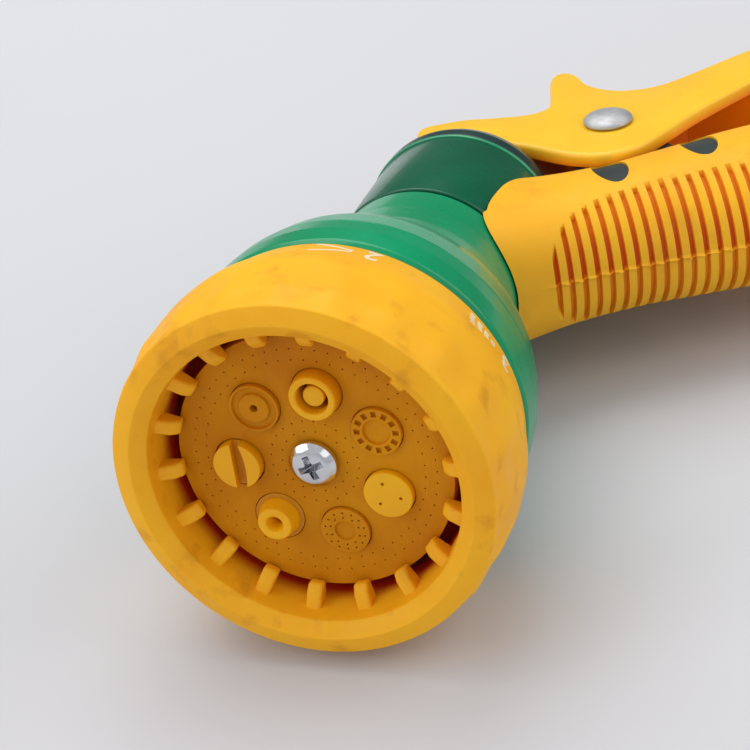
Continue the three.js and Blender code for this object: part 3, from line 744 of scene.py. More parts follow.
def outlet_mist(material):
    """A raised disc with three slanting pinholes."""
    top = 1.1
    lean = 0.35
    first = 0.3
    profile = [(INSERT_BACK, 0), (INSERT_BACK, PORT_RADIUS), (top, PORT_RADIUS - 0.05, 0.25), (top, 0)]
    pins = []
    for angle in fractions(3):
        y, z = polar(2, angle + first)
        pin = spin(bar(-3, 2, 0.26, 16), lean, "Y", (top, 0, 0))
        pins.append(move(pin, y=y, z=z))
    outlet("outlet_3", 3, profile, "outlet_yellow", material, "outlet_mist", [join(*pins)])


def outlet_shower(material):
    """A flat disc with a sunk middle and two rings of fine holes."""
    profile = [
        (INSERT_BACK, 0), (INSERT_BACK, PORT_RADIUS), (0.6, PORT_RADIUS, 0.15), (0.6, 1.65, 0.1),
        (0.2, 1.55), (0.2, 0),
    ]
    sprays = []
    for radius, count in ((2.3, 10), (3.1, 14)):
        for angle in fractions(count):
            y, z = polar(radius, angle)
            sprays.append(move(bar(0.0, 1.5, 0.17, PIN_ROUND), y=y, z=z))
    outlet("outlet_4", 4, profile, "plate_yellow", material, "outlet_shower", [join(*sprays)])


def outlet_jet(material):
    """A short tapered nozzle."""
    profile = [
        (INSERT_BACK, 0.8), (INSERT_BACK, PORT_RADIUS), (0.05, PORT_RADIUS, 0.05), (0.12, 3.25, 0.05),
        (0.4, 3.15), (2.7, 2.65, 0.35), (2.7, 1.4, 0.25), (1.2, 0.8),
    ]
    outlet("outlet_5", 5, profile, "outlet_yellow", material, "outlet_jet")


def outlet_flat(material):
    """A raised disc split by a slot that widens in the middle."""
    top = 1.6
    profile = [(INSERT_BACK, 0), (INSERT_BACK, PORT_RADIUS), (top, PORT_RADIUS - 0.15, 0.2), (top, 0)]
    edge = PORT_RADIUS + 1
    wedge = [(edge, 0.5), (-edge, 0.5), (-edge, -0.8)] + bend((-edge, -0.8), (0, -2.3), (edge, -0.4))
    slot = move(outline_solid([wedge], 1.5, to_axes=FACING_X), x=top)
    outlet("outlet_6", 6, profile, "outlet_yellow", material, "outlet_flat", [slot])


def outlets(flat, bright):
    """The seven outlets, in the flat plate's colour or the raised ones' brighter yellow."""
    outlet_rings(flat)
    outlet_cone(bright)
    outlet_windows(flat)
    outlet_mist(bright)
    outlet_shower(flat)
    outlet_jet(bright)
    outlet_flat(bright)


def dial_back(material):
    """The disc behind the plate, with a water tube for each outlet and a dimple for each click."""
    rear = -12.3
    front = rear + 2.5
    rim = 25.2
    hole = 2.4
    profile = rounded([(rear, hole), (rear, rim, 0.3), (front, rim, 0.3), (front, hole)])
    disc = to_object("dial_back", lathe(profile))
    tubes = []
    bores = []
    for index in range(PORTS):
        y, z = port_place(index)
        tubes.append(move(bar(front - 0.5, -PLATE_THICKNESS - GAP, 3.4), y=y, z=z))
        bores.append(move(bar(rear - 1, 0, 2.0), y=y, z=z))
        y, z = polar(DETENT_CIRCLE, math.pi + port_angle(index))
        bores.append(move(bar(rear - 1, rear + 1, 1.4), y=y, z=z))
    fuse(disc, join(*tubes))
    cut(disc, join(*bores))
    return finish_piece(disc, "dial", "plate_yellow", material, "dial_back_plate")


# ---------------------------------------------------------------- the print on the dial
LABEL_HEIGHT = 4.4
LABEL_EDGE = 1.0                 # from the dial's rear edge to the label
DIGIT_STRETCH = 0.8              # the digits are a little narrower than the font draws them
PRINT_THICKNESS = 0.07
# For each pattern: how many strokes, how far they spread in degrees, and dashes in each stroke.
SPRAY_MARKS = [(3, 0, 1), (2, 34, 1), (4, 26, 4), (5, 30, 6), (5, 34, 3), (1, 0, 1), (3, 12, 2)]


def digit_mesh(text):
    """A digit as a flat filled mesh, LABEL_HEIGHT tall, standing on v = 0."""
    curve = bpy.data.curves.new("digit", "FONT")
    curve.body = text
    curve.extrude = PRINT_THICKNESS
    curve.offset = 0.015         # makes the strokes a little bolder
    curve.resolution_u = 3
    bm = curve_to_bmesh(curve, 1e-5)
    height = max(v.co.y for v in bm.verts)
    scale = LABEL_HEIGHT / height
    bmesh.ops.scale(bm, verts=bm.verts, vec=(scale * DIGIT_STRETCH, scale, 1))
    return bm


def spray_mark(strokes, spread, dashes):
    """A little fan of strokes, each broken into dashes, opening away from the digit."""
    length = 6.4
    width = 0.6
    first = 1.2
    inked = 0.62 if dashes > 1 else 1
    parts = []
    for i in range(strokes):
        lean = math.radians(spread) * ((i / (strokes - 1) - 0.5) if strokes > 1 else 0)
        for k in range(dashes):
            start = first + length * k / dashes
            end = start + length / dashes * inked
            dash = block((start, -width / 2, -PRINT_THICKNESS), (end, width / 2, PRINT_THICKNESS))
            bmesh.ops.subdivide_edges(dash, edges=dash.edges, cuts=4, use_grid_fill=True)
            parts.append(spin(dash, lean, "Z"))
    return move(join(*parts), x=3.4, y=LABEL_HEIGHT / 2)


def wrap_on_band(bm, centre_angle):
    """Bends a flat label round the printed band: u runs round it and v towards the front."""
    slope = (REAR_BAND_RADIUS - REAR_EDGE_RADIUS) / (REAR_BAND - DIAL_REAR)
    middle = max(v.co.x for v in bm.verts) / 2
    for vertex in bm.verts:
        u, v, w = vertex.co
        along = DIAL_REAR + LABEL_EDGE + v
        radius = REAR_EDGE_RADIUS + slope * (along - DIAL_REAR)
        angle = centre_angle + (u - middle) / radius
        vertex.co = on_axis(along, radius + w, angle, "X")
    return bm


def dial_print(material):
    """A number and a spray mark on the band behind each outlet."""
    labels = []
    for index, mark in enumerate(SPRAY_MARKS):
        fan = spray_mark(*mark)
        number = move(digit_mesh(str(index + 1)), x=0.2)
        labels.append(wrap_on_band(join(number, fan), port_angle(index)))
    return finish_piece(to_object("dial_print", join(*labels)), "dial", "plate_yellow", material)


# ---------------------------------------------------------------- the body on the spray axis
def center_screw(material):
    """Cross-headed screw that the dial turns on."""
    head = 3.8
    seat = 0.3
    first_wing = 0.35
    profile = [
        (-26, 0), (-26, 1.6, 0.3), (seat, 1.6), (seat, head, 0.15), (seat + 0.75, head - 0.05, 0.3),
        (seat + 1.55, 2.8, 1.4), (seat + 2.0, 0),
    ]
    screw = to_object("dial_screw", lathe(rounded(profile, steps=8), SMALL_ROUND))
    for turn in (first_wing, first_wing + math.pi / 2):
        wing_shape = [(-0.4, -0.6), (3.2, -2.7), (3.2, 2.7), (-0.4, 0.6)]
        wing = outline_solid([wing_shape], 0.55, bevel=0.08, to_axes=FACING_Y)
        cut(screw, spin(wing, turn))
    cut(screw, lathe([(-0.4, 0), (3.2, 1.7), (3.2, 0)], 4))
    return finish_piece(screw, "body", "steel", material, "center_screw")


# The bell's front wall with its bead, and then its waist down to the barrel.
BELL_FRONT = [
    (-16.2, 27.2, 0.4), (-17.2, 28, 0.8), (-21, 28, 3), (-24.4, 27.55), (-24.55, 27.3), (-24.85, 27.3),
    (-25.0, 27.4),
]
BELL_WAIST = [
    (-29.8, 26.1, 6), (-33.4, 24.5, 2), (-34.7, 23.4, 0.6), (-35.6, 22.0, 1), (-38, 20.3, 6),
    (-42, 18.6, 8), (-47, 17.4, 8), (-52.5, 16.75, 8), (NECK_REAR, 16.45, 0.4),
]


def bell_cover(material):
    """Glossy flared cover between the dial and the barrel."""
    inside = [(NECK_REAR, 14.5), (-40, 14.6), (-32.6, 18.8), (-31, 22.4), (-24, 25), (-16.2, 25)]
    profile = rounded(BELL_FRONT + BELL_WAIST + inside, steps=6)
    bell = to_object("body_bell", lathe(profile, BODY_ROUND))
    return finish_piece(bell, "body", "body_green", material, "bell_cover")


def barrel_housing(material):
    """The water body: seal seat and click pocket in front, valve bore behind, inlet below."""
    front = -15.6
    tube = 14.2
    bore = 10.5
    profile = [
        (front, 1.9), (front, 24.6, 0.3), (-18.6, 24.6), (-18.6, 18.4), (-32, 18.4), (-39, tube),
        (NECK_REAR - 0.5, tube), (NECK_REAR - 0.5, BARREL_RADIUS, 0.35), (BARREL_REAR, BARREL_RADIUS, 0.25),
        (BARREL_REAR, 13.3), (-75.9, 13.3), (-75.9, bore), (-50.2, bore), (-50.2, 5.3), (-46.2, 5.3),
        (-46.2, 10.8), (-40, 10.8), (-33, 15.4), (-18.6, 15.4), (-18.6, 4.6), (-27, 4.6), (-27, 1.9),
    ]
    barrel = to_object("body_barrel", lathe(rounded(profile), BODY_ROUND))
    y, z = port_place(0)
    detent_y, detent_z = polar(DETENT_CIRCLE, math.pi + FIRST_PORT)
    fuse(barrel, move(bar(-24, -18, 3.5), y=detent_y, z=detent_z))
    water_way = move(bar(-20, -17.25, 2.6), y=y, z=z)
    click_pocket = move(bar(-22.4, -14, 2.2), y=detent_y, z=detent_z)
    cut(barrel, join(water_way, click_pocket))
    cut(barrel, move(bar(-17.3, -14, 4.9), y=y, z=z))
    inlet = bar(-30, -8, 7.2, SMALL_ROUND, axis="Z")
    inlet.transform(HELD_IN_HANDLE.inverted())
    cut(barrel, inlet)
    return finish_piece(barrel, "body", "dark_green", material, "barrel_housing")


def barrel_rim(material):
    """The barrel's rear edge, a fine raised bead coloured a brighter green than the barrel, as a painted
    highlight where it catches the light.
    """
    back = BARREL_REAR - 0.25
    front = BARREL_REAR + 0.4
    foot = BARREL_RADIUS - 0.4
    profile = [
        (back, foot), (back, BARREL_RADIUS + 0.35, 0.2), (front, BARREL_RADIUS + 0.25, 0.2), (front, foot),
    ]
    bead = to_object("body_barrel_rim", lathe(rounded(profile), BODY_ROUND))
    return finish_piece(bead, "body", "dark_green", material)


def rear_cap(material):
    """Domed shoulder that closes the barrel."""
    front = BARREL_REAR - GAP
    rim = BARREL_RADIUS + 0.2
    profile = [
        (front, rim, 0.3), (-82.8, rim, 1.2), (-85.4, 15.8, 1.5), (-87.2, 13.8, 1), (-88, 11.5, 0.6),
        (-88, 6.4, 0.3), (-84, 6.4), (-84, 2.5), (-76.4, 2.5), (-76.4, 12.9), (front, 12.9),
    ]
    cap = to_object("body_cap", lathe(rounded(profile), ROUND))
    return finish_piece(cap, "body", "dark_core", material, "rear_cap")


def packing_nut(material):
    """Six-sided gland round the stem."""
    across = 8.4
    middle = -90.15
    half_depth = 1.85
    head = outline_solid([circle(across, count=6)], half_depth, bevel=0.35, to_axes=FACING_X)
    nut = to_object("body_gland", move(head, x=middle))
    fuse(nut, bar(-89, -86.6, 6, SMALL_ROUND))
    cut(nut, bar(-95, -80, 2.4))
    return finish_piece(nut, "body", "black_plastic", material, "packing_nut")


# ---------------------------------------------------------------- what the lever pulls
def stem_knob(material):
    """Adjusting knob with a knurled rim."""
    rim = 8.35
    teeth = 36
    tooth_height = 0.12
    profile = [
        (-100.9, 2.3), (-101.1, 3.2), (-103.4, rim, 0.3), (-106.9, rim, 0.3), (-108.3, 7.2, 0.5),
        (-108.9, 4.5, 0.3), (-108.9, 2.3),
    ]

    def knurl(along, radius, angle):
        return radius + (tooth_height * math.cos(teeth * angle) if radius > rim - 0.15 else 0)

    knob = to_object("stem_knob", lathe(rounded(profile), teeth * 6, knurl))
    return finish_piece(knob, "stem", "dark_metal", material, "stem_nut")


# ---------------------------------------------------------------- the handle
# Stations down the handle: (distance from the spray axis, front, back, half width).
GRIP_STATIONS = [
    (-4, 16, -15.2, 13.8), (4, 15.5, -15, 13.6), (12, 14.2, -14.2, 12.8), (22, 13.1, -13.2, 11.9),
    (32, 12.9, -13.1, 11.8), (42, 13.4, -14.2, 12.2), (54, 14, -15.8, 12.7), (68, 14.4, -16.6, 13),
    (82, 14.4, -16.6, 13.1), (96, 14.2, -15.8, 12.9), (110, 14.2, -14.9, 12.8), (120, 14.2, -14.4, 12.8),
    (GRIP_END, 14, -14, 12.6),
]
GROOVE_FIRST = 18.2
GROOVE_LAST = 118
GROOVE_PITCH = 2.3
GROOVE_WIDTH = 1.0
GROOVE_WALL = 0.16               # how far a groove's side slopes
GROOVE_DEPTH = 1.1
# Where the grooves' top ends lie on the flank: (distance down the handle, place across it).
GROOVE_ENDS = [
    (17, 14), (18, 13.2), (20, 11.2), (22, 9.5), (24.5, 8), (29, 6.5), (36, 5.5), (46, 5.7), (56, 6.3),
    (118, 6.5),
]
GRIP_START = -4


def interpolate(table, value):
    """A row of a table at a value of its first column, smoothly between the rows."""
    rows = [row for row in table if row[0] <= value]
    i = min(max(len(rows) - 1, 0), len(table) - 2)
    t = min(max((value - table[i][0]) / (table[i + 1][0] - table[i][0]), 0), 1)
    before, after = table[max(i - 1, 0)], table[min(i + 2, len(table) - 1)]
    columns = zip(before[1:], table[i][1:], table[i + 1][1:], after[1:])
    return [catmull_rom(*column, t) for column in columns]


def grip_point(distance, angle, inset=0.0):
    """A point of the grip's outer skin, in the handle's frame."""
    front, back, half_width = interpolate(GRIP_STATIONS, distance)
    power = 0.72 + 0.25 * min(max((distance - 8) / 28, 0), 1)

    def swell(value):
        return math.copysign(abs(value) ** power, value)

    x = (front + back) / 2 + ((front - back) / 2 - inset) * swell(math.cos(angle))
    return Vector((x, (half_width - inset) * swell(math.sin(angle)), -distance))


def groove_share(distance, point):
    """How deep the grooves are here, from 0 to 1."""
    along = (distance - GROOVE_FIRST) % GROOVE_PITCH
    if not GROOVE_FIRST <= distance <= GROOVE_LAST or along > GROOVE_WIDTH:
        return 0.0
    across = smoothstep(0, GROOVE_WALL, along)
    across *= 1 - smoothstep(GROOVE_WIDTH - GROOVE_WALL, GROOVE_WIDTH, along)
    end = interpolate(GROOVE_ENDS, distance)[0]
    return across * smoothstep(end - 0.3, end + 0.5, point.x)


FLASH_HEIGHT = 0.42


def parting_flash(distance, point):
    """The ragged ridge where the mould's halves met, along the front: 0 to 1."""
    if point.x < 0:
        return 0.0
    ragged = 0.16 * math.sin(2.7 * distance) + 0.1 * math.sin(7.3 * distance)
    return math.exp(-((point.y - ragged) / 0.2) ** 2) * smoothstep(15, 20, distance)


def groove_painted_shade(point):
    """How much painted shade a groove's floor gets: most just above the parting line."""
    return 0.45 if point.y < -0.2 else 1 - 0.4 * smoothstep(3, 10, point.y)


def grip_distances():
    """Rings down the grip: a few at each groove's edges, and evenly elsewhere."""
    edge = (0, GROOVE_WALL / 2, GROOVE_WALL)
    inside_groove = [*edge, GROOVE_WIDTH / 2, *[GROOVE_WIDTH - step for step in reversed(edge)]]
    rings = [GRIP_START + 1.1 * k for k in range(20)]
    grooves = int((GROOVE_LAST - GROOVE_FIRST) / GROOVE_PITCH)
    for k in range(grooves):
        start = GROOVE_FIRST + GROOVE_PITCH * k
        rings += [start + step for step in inside_groove] + [start + GROOVE_WIDTH + 0.65]
    last = GROOVE_FIRST + GROOVE_PITCH * grooves
    rings += [last + (GRIP_END - last) * k / 6 for k in range(7)]
    return sorted(rings)


def grip_angles():
    """Angles round the grip, closer together at the parting line in front."""
    fine = [math.radians(a) for a in (-2.5, -1.9, -1.4, -0.9, -0.45, 0, 0.45, 0.9, 1.4, 1.9, 2.5)]
    steps = 132
    even = [2 * math.pi * k / steps for k in range(2, steps - 1)]
    return sorted(fine + [a - 2 * math.pi if a > math.pi else a for a in even])


def skin_faces(bm, rings):
    """Four-sided faces from each ring of points to the next."""
    for upper, lower in zip(rings, rings[1:]):
        for k in range(len(upper)):
            bm.faces.new((upper[k], upper[k - 1], lower[k - 1], lower[k]))


def grip_skin():
    """The grooved outer skin and a plain inner one, closed at both ends, with each vertex's painted groove
    shade, from its groove depth.
    """
    bm = bmesh.new()
    groove_shade_layer = bm.verts.layers.float.new("groove")
    angles = grip_angles()

    def ring(distance, inset, grooved):
        vertices = []
        for angle in angles:
            point = grip_point(distance, angle, inset)
            vertex = bm.verts.new(point)
            if grooved:
                inward = (point - grip_point(distance, angle, inset + 1)).normalized()
                flash = parting_flash(distance, point)
                share = groove_share(distance, point) * (1 - 0.7 * flash)
                vertex.co = point - inward * (GROOVE_DEPTH * share - FLASH_HEIGHT * flash)
                # stores the painted shade of the groove floor, from its depth and place
                vertex[groove_shade_layer] = share * groove_painted_shade(point)
            vertices.append(vertex)
        return vertices

    outer = [ring(distance, 0, True) for distance in grip_distances()]
    end = GRIP_END + 0.35
    end_round = [ring(end - 0.1, 0.15, False), ring(end, 0.5, False)]
    inner = [ring(end + (GRIP_START - end) * k / 40, GRIP_WALL, False) for k in range(41)]
    skin_faces(bm, outer + end_round + inner + outer[:1])
    return bm


def barrel_clearance():
    """The barrel and bell with air around them."""
    air = 0.35
    around = [(x, radius + air) for x, radius, *_ in BELL_WAIST]
    wall = BARREL_RADIUS + 0.5
    behind = -95
    start = (BELL_WAIST[0][0], 0)
    return lathe([start] + around + [(NECK_REAR - 1, wall), (behind, wall), (behind, 0)], ROUND)


def above_collar():
    """Everything higher than the handle's top collar."""
    reach = 60
    box = block((-reach, -reach / 2, COLLAR_TOP), (reach, reach / 2, COLLAR_TOP + reach))
    return move(box, x=handle_place.x)


def lug_outline(margin):
    """The rivet's lug: round about the rivet and spreading to the handle."""
    x, z = pivot_in_handle.x, pivot_in_handle.z
    radius = 6.6 + margin
    root = -6
    spread = 4
    arc = [math.pi / 2 + math.pi * k / 16 for k in range(17)]
    rounded_end = [(x + radius * math.cos(a), z + radius * math.sin(a)) for a in arc]
    return [(root, z + radius + spread)] + rounded_end + [(root, z - radius - spread)]


WINDOWS = [(-2.4, 33), (-3.8, 49), (-4.8, 65), (-4.8, 81), (-3.8, 97)]  # place across and down the handle
WINDOW_SIZE = (5.8, 2.9)


def cheek_relief():
    """Slices that the lever's cheeks sweep through at the back of the grip."""
    reach = 14.2
    half_thickness = 1.7
    slice_shape = circle(reach, pivot_in_handle.x, pivot_in_handle.z)
    middle = LEVER_HALF_WIDTH - 1
    sides = [outline_solid([slice_shape], half_thickness, to_axes=FACING_Y) for _ in range(2)]
    return join(move(sides[0], y=middle), move(sides[1], y=-middle))


def window_bars(inset):
    """Oval bars through both flanks, one for each pair of windows, shrunk by inset."""
    bars = []
    for x, down in WINDOWS:
        oval = ellipse(WINDOW_SIZE[0] - inset, WINDOW_SIZE[1] - inset, x, -down)
        bars.append(outline_solid([oval], THROUGH, to_axes=FACING_Y))
    return join(*bars)


def grip_sleeve(material):
    """Soft grooved grip with oval windows in both flanks."""
    grip = to_object("handle_grip", grip_skin(), HANDLE)
    cut(grip, barrel_clearance())
    cut(grip, above_collar())
    cut(grip, window_bars(0), matrix=HANDLE)
    slot = outline_solid([lug_outline(0.5)], LUG_HALF_WIDTH + 0.5, to_axes=FACING_Y)
    cut(grip, slot, matrix=HANDLE)
    cut(grip, cheek_relief(), matrix=HANDLE)
    return finish_piece(grip, "body", "soft_yellow", material, "grip_sleeve")


def grip_form(inset):
    """The grip's plain solid form, shrunk by inset."""
    bm = bmesh.new()
    steps = 65
    around = 72
    rings = []
    for k in range(steps + 1):
        distance = GRIP_START + (GRIP_END - GRIP_START) * k / steps
        ring = [grip_point(distance, angle, inset) for angle in fractions(around)]
        rings.append([bm.verts.new(point) for point in ring])
    skin_faces(bm, rings)
    bm.faces.new(rings[0])
    bm.faces.new(rings[-1])
    return bm


def handle_core(material):
    """The dark inner handle with its rivet lug, barrel spigot, window pads and coupling flange."""
    pad_clearance = 0.12
    core = to_object("handle_inner", grip_form(GRIP_WALL + GAP), HANDLE)
    pads = to_object("pads", window_bars(pad_clearance), HANDLE)
    boolean(pads, "INTERSECT", to_object("skin", grip_form(GAP), HANDLE))
    boolean(core, "UNION", pads)
    cut(core, barrel_clearance())
    cut(core, above_collar())
    lug = outline_solid([lug_outline(0)], LUG_HALF_WIDTH, bevel=0.5, to_axes=FACING_Y)
    neck = [(1 - GRIP_END, 0), (1 - GRIP_END, 7.4), (-134, 7.4)]
    rim = [(-134, 10.8, 0.3), (-136, 10.8, 0.3), (-136, 0)]
    flange = lathe(rounded(neck + rim), SMALL_ROUND, axis="Z")
    spigot = bar(-22, -12.5, 6.8, SMALL_ROUND, axis="Z")
    fuse(core, lug, flange, spigot, matrix=HANDLE)
    cut(core, bar(-150, -5, 5.6, SMALL_ROUND, axis="Z"), matrix=HANDLE)
    hole = circle(RIVET_HOLE, pivot_in_handle.x, pivot_in_handle.z, HOLE_ROUND)
    pin = outline_solid([hole], THROUGH, to_axes=FACING_Y)
    cut(core, pin, cheek_relief(), matrix=HANDLE)
    return finish_piece(core, "body", "dark_core", material, "handle_core")


def hose_coupling(material):
    """Swivel nut with rounded flutes."""
    top = -129
    lip = top - 3.6
    bottom = -COUPLING_END
    outside = COUPLING_RADIUS
    socket = 13.4
    neck = 7.9
    flutes = 16
    flute_depth = 0.9
    profile = rounded([
        (top, neck, 0.3), (top, 13.6, 0.5), (top - 1.6, outside, 0.8), (top - 2.6, outside), (lip, outside),
        (bottom + 4.6, outside), (bottom + 3.6, outside), (bottom + 1.2, outside, 0.6), (bottom, 15.8, 0.3),
        (bottom, socket), (lip, socket), (lip, neck),
    ])

    def flute(along, radius, angle):
        if radius < outside - 0.1 or not bottom + 4 < along < top - 3:
            return radius
        return radius - flute_depth * (0.5 + 0.5 * math.cos(flutes * angle)) ** 2

    coupling = to_object("coupling_nut", lathe(profile, flutes * 12, flute, axis="Z"), HANDLE)
    return finish_piece(coupling, "coupling", "dark_core", material, "hose_coupling")


def coupling_washer(material):
    """Hose washer with rounded edges."""
    top = -136.3
    bottom = top - 2.6
    hole = 6.4
    rim = 12.9
    profile = rounded([(top, hole, 0.5), (top, rim, 0.5), (bottom, rim, 0.5), (bottom, hole, 0.5)])
    washer = to_object("coupling_seal", lathe(profile, SMALL_ROUND, axis="Z"), HANDLE)
    return finish_piece(washer, "coupling", "black_rubber", material, "coupling_washer")


def filter_screen(material):
    """Strainer disc with seven rings of holes."""
    place = -139.7
    pitch = 1.45
    hole = 0.5
    loops = [circle(12.7, count=ROUND)]
    for ring in range(1, 8):
        for angle in fractions(6 * ring):
            loops.append(circle(hole, *polar(pitch * ring, angle), count=10))
    screen = to_object("coupling_screen", move(outline_solid(loops, 0.4, bevel=0.05), z=place), HANDLE)
    return finish_piece(screen, "coupling", "steel", material, "filter_screen")


# ---------------------------------------------------------------- the lever
# The lever's side view in the held frame: its back with the thumb spur, its front, its top end, and the
# front face of its back wall.
LEVER_BACK = [
    (-97.6, 8.6), (-99.6, 4), (-100.4, -1), (-101.6, -7), (-104.4, -10), (-109, -9.6), (-115, -8),
    (-119.2, -7.6), (-120.8, -9.4), (-119.6, -12), (-115.2, -15.2), (-112.6, -19.8), (-112.6, -24.5),
    (-114.8, -28.8), (-119.5, -33), (-129.8, -41.1), (-140, -50.6), (-149, -61), (-155.6, -71), (-159, -78),
]
LEVER_FRONT = [
    (-151.8, -81.2), (-147.6, -74), (-141.5, -66), (-133.5, -57.6), (-124.5, -50.4), (-113.8, -44),
    (-101.8, -37.4), (-94, -34), (-88.2, -31.2), (-85, -27.8), (-83.8, -23.5), (-84.8, -18), (-88, -10.5),
    (-90, -3), (-90.6, 4),
]
LEVER_TIP = (-93.8, 11)
LEVER_WEB = [
    (-94, 30), (-96.6, 8), (-98, 0), (-99, -6), (-101.8, -12.4), (-108.2, -15.4), (-110.2, -19.8),
    (-110.2, -25), (-112.8, -30), (-118, -34.8), (-128.2, -43), (-138.2, -52.4), (-147, -62.6),
    (-153.4, -72.2), (-155.6, -78.4),
]
LEVER_BRACES = [
    ((-116, -32.5), (-119.5, -45)), ((-127, -41.5), (-128, -52)), ((-137, -50.5), (-135.5, -58.5)),
    ((-146, -60.5), (-142, -65)),
]


def lever_braces():
    """Thin slanting walls that stiffen the channel, each ending a little below its front edges."""
    half_thickness = 0.7
    walls = []
    for start, end in LEVER_BRACES:
        along = Vector(end) - Vector(start)
        side = Vector((-along.y, along.x)).normalized() * half_thickness
        corners = [Vector(start) + side, Vector(start) - side, Vector(end) - side, Vector(end) + side]
        wall = [tuple(corner) for corner in corners]
        walls.append(outline_solid([wall], LEVER_HALF_WIDTH - 2, to_axes=FACING_Y))
    return walls


def lever(material):
    """A channel-shaped lever: two cheeks and a back wall, with rounded outer edges."""
    outline = spline_through(LEVER_BACK)
    outline += bend(LEVER_BACK[-1], (-158.6, -83.4), LEVER_FRONT[0])
    outline += spline_through(LEVER_FRONT)[1:]
    outline += bend(LEVER_FRONT[-1], (-91, 10.4), LEVER_TIP)
    outline += bend(LEVER_TIP, (-96.4, 11.4), LEVER_BACK[0])[:-1]
    arm = to_object("lever_arm", outline_solid([outline], LEVER_HALF_WIDTH, bevel=0.9, to_axes=FACING_Y))
    channel = spline_through(LEVER_WEB, 6) + [(-60, -84), (-60, 30)]
    inside = LEVER_HALF_WIDTH - LEVER_WALL
    cut(arm, outline_solid([channel], inside, bevel=1.0, to_axes=FACING_Y))
    fuse(arm, *lever_braces())
    hole = circle(RIVET_HOLE, pivot.x, pivot.z, HOLE_ROUND)
    cut(arm, outline_solid([hole], THROUGH, to_axes=FACING_Y))
    stem_slot = block((-109, -3, -6.5), (-93, 3, 8.5))
    cut(arm, stem_slot)
    # the "inside" attribute carries the painted shade of the channel's inner walls
    paint(arm, "inside", lambda p: 1 - smoothstep(inside, inside + 0.5, abs(p.y)))
    return finish_piece(arm, "lever_arm", "lever_yellow", material, "lever")


def pivot_rivet(material):
    """Rivet through the lever's sides and the handle's lug, with a low dome at each end."""
    under = LEVER_HALF_WIDTH + 0.25
    edge = 0.25
    radius = 4.3
    height = 1.65
    shank = 2.3
    steps = 10
    dome = [(under, radius - 0.1)]
    for k in range(steps):
        reach, rise = polar(1, math.pi / 2 * k / steps)
        dome.append((under + edge + (height - edge) * rise, radius * reach))
    profile = [(-x, r) for x, r in reversed(dome)] + [(-under, shank), (under, shank)] + dome
    profile = [(-under - height, 0)] + profile + [(under + height, 0)]
    bm = spin(lathe(profile, SMALL_ROUND, axis="Z"), math.pi / 2)
    move(bm, x=pivot.x, z=pivot.z)
    return finish_piece(to_object("lever_rivet", bm), "body", "steel", material, "pivot_rivet")


# ---------------------------------------------------------------- the whole nozzle
def dress_inner_nodes():
    """Materials for the small inner pieces that keep their CAD shape."""
    rubber = black_rubber()
    brass = machined_brass()
    steel = satin_steel()
    wear = {
        "outlet_seal": rubber, "stem_oring": rubber, "valve_washer": rubber, "valve_seat": brass,
        "valve_stem": brass, "valve_spring": steel, "detent_ball": steel, "detent_spring": steel,
    }
    for node, material in wear.items():
        mesh = frame["nodes"][node].data
        mesh.materials.clear()
        mesh.materials.append(material)


def build_nozzle():
    """Every piece, from the dial to the lever."""
    yellow = soft_yellow()
    flat = plate_yellow()
    bright = outlet_yellow()
    core = dark_core()
    steel = satin_steel()
    bezel_ring(yellow)
    face_plate(flat)
    outlets(flat, bright)
    # the disc behind the plate gets painted shade orange for the dim slots round the plate
    dial_back(painted_shade_orange())
    dial_print(white_print())
    center_screw(screw_chrome())
    bell_cover(body_green())
    barrel_housing(dark_green())
    barrel_rim(rim_highlight_green())
    rear_cap(shoulder_teal())
    packing_nut(black_plastic())
    stem_knob(dark_metal())
    handle_core(core)
    grip_sleeve(grip_yellow())
    hose_coupling(core)
    coupling_washer(black_rubber())
    filter_screen(steel)
    lever(lever_yellow())
    pivot_rivet(steel)
    dress_inner_nodes()


# ---------------------------------------------------------------- the scene round it
CAMERA_PLACE = Vector((293.26, 180.12, -129.63))     # in the held frame
CAMERA_AIM = Vector((-40, -7.72, 4.52))
CAMERA_ROLL = math.radians(-10.654)
CAMERA_LENS = 120
SENSOR = 36


def add_camera():
    """The camera at the photograph's angle."""
    data = bpy.data.cameras.new("camera")
    data.lens = CAMERA_LENS
    data.sensor_width = SENSOR
    data.clip_start = 0.01
    camera = bpy.data.objects.new("camera", data)
    place = HELD @ CAMERA_PLACE
    aim = HELD @ CAMERA_AIM
    turn = (aim - place).to_track_quat("-Z", "Y").to_matrix().to_4x4()
    camera.matrix_world = Matrix.Translation(place) @ turn @ Matrix.Rotation(CAMERA_ROLL, 4, "Z")
    bpy.context.scene.collection.objects.link(camera)
    bpy.context.scene.camera = camera


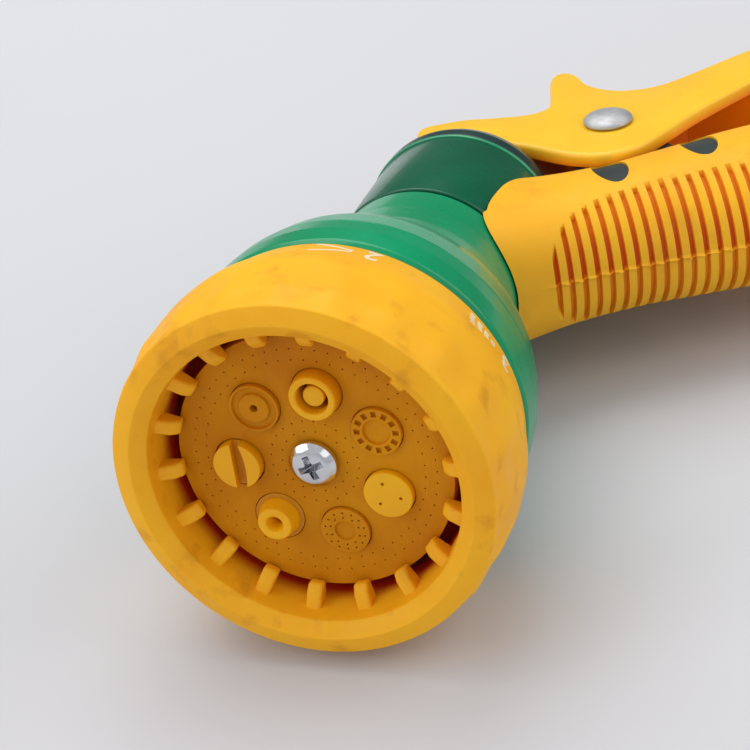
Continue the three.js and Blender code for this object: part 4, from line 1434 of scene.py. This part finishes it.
def add_floor():
    """A wide sheet of pale paper just under the nozzle."""
    half_size = 3.0
    below = 0.0002
    bm = bmesh.new()
    bmesh.ops.create_grid(bm, x_segments=2, y_segments=2, size=half_size)
    floor = to_object("floor", bm, Matrix.Translation((0, 0, -below)))
    pale, shade = linear(208, 208, 211), linear(204, 204, 207)
    surface = moulded("floor paper", pale, shade, 0.8, 2.0, 0.01, patch=300)
    surface.set(Specular_IOR_Level=0.1)
    floor.data.materials.append(surface.material)


def add_light(name, place, aim, size, power):
    """A soft rectangular light that faces its aim."""
    data = bpy.data.lights.new(name, "AREA")
    data.shape = "RECTANGLE"
    data.size, data.size_y = size
    data.energy = power
    light = bpy.data.objects.new(name, data)
    light.location = place
    light.rotation_euler = (Vector(aim) - Vector(place)).to_track_quat("-Z", "Y").to_euler()
    bpy.context.scene.collection.objects.link(light)


def add_lights():
    centre = (0, 0, 0.02)
    add_light("key", (-0.35, 0.35, 1.0), centre, (1.2, 0.9), 9.5)
    add_light("right", (0.8, 0.3, 0.75), centre, (0.9, 0.9), 4.5)
    add_light("fill", (-0.7, -0.5, 0.5), centre, (0.6, 0.6), 1.6)
    add_light("front", (0.5, -0.8, 0.55), centre, (0.5, 0.4), 0.5)


def add_studio():
    """Surroundings that are pale in front of the nozzle and dim behind it."""
    world = bpy.data.worlds.new("studio")
    world.use_nodes = True
    tree = world.node_tree
    direction = tree.nodes.new("ShaderNodeTexCoord")
    split = tree.nodes.new("ShaderNodeSeparateXYZ")
    ramp = tree.nodes.new("ShaderNodeValToRGB")
    flip = tree.nodes.new("ShaderNodeMapRange")
    flip.inputs["From Min"].default_value = 1.0
    flip.inputs["From Max"].default_value = -1.0
    ramp.color_ramp.elements[0].position = 0.25
    ramp.color_ramp.elements[0].color = (0.14, 0.145, 0.15, 1.0)
    ramp.color_ramp.elements[1].position = 0.7
    ramp.color_ramp.elements[1].color = (0.58, 0.59, 0.62, 1.0)
    tree.links.new(direction.outputs["Generated"], split.inputs[0])
    tree.links.new(split.outputs["Y"], flip.inputs["Value"])
    tree.links.new(flip.outputs["Result"], ramp.inputs[0])
    tree.links.new(ramp.outputs[0], tree.nodes["Background"].inputs["Color"])
    bpy.context.scene.world = world
    bpy.context.scene.view_settings.view_transform = "Standard"


build_nozzle()
add_camera()
add_floor()
add_lights()
add_studio()
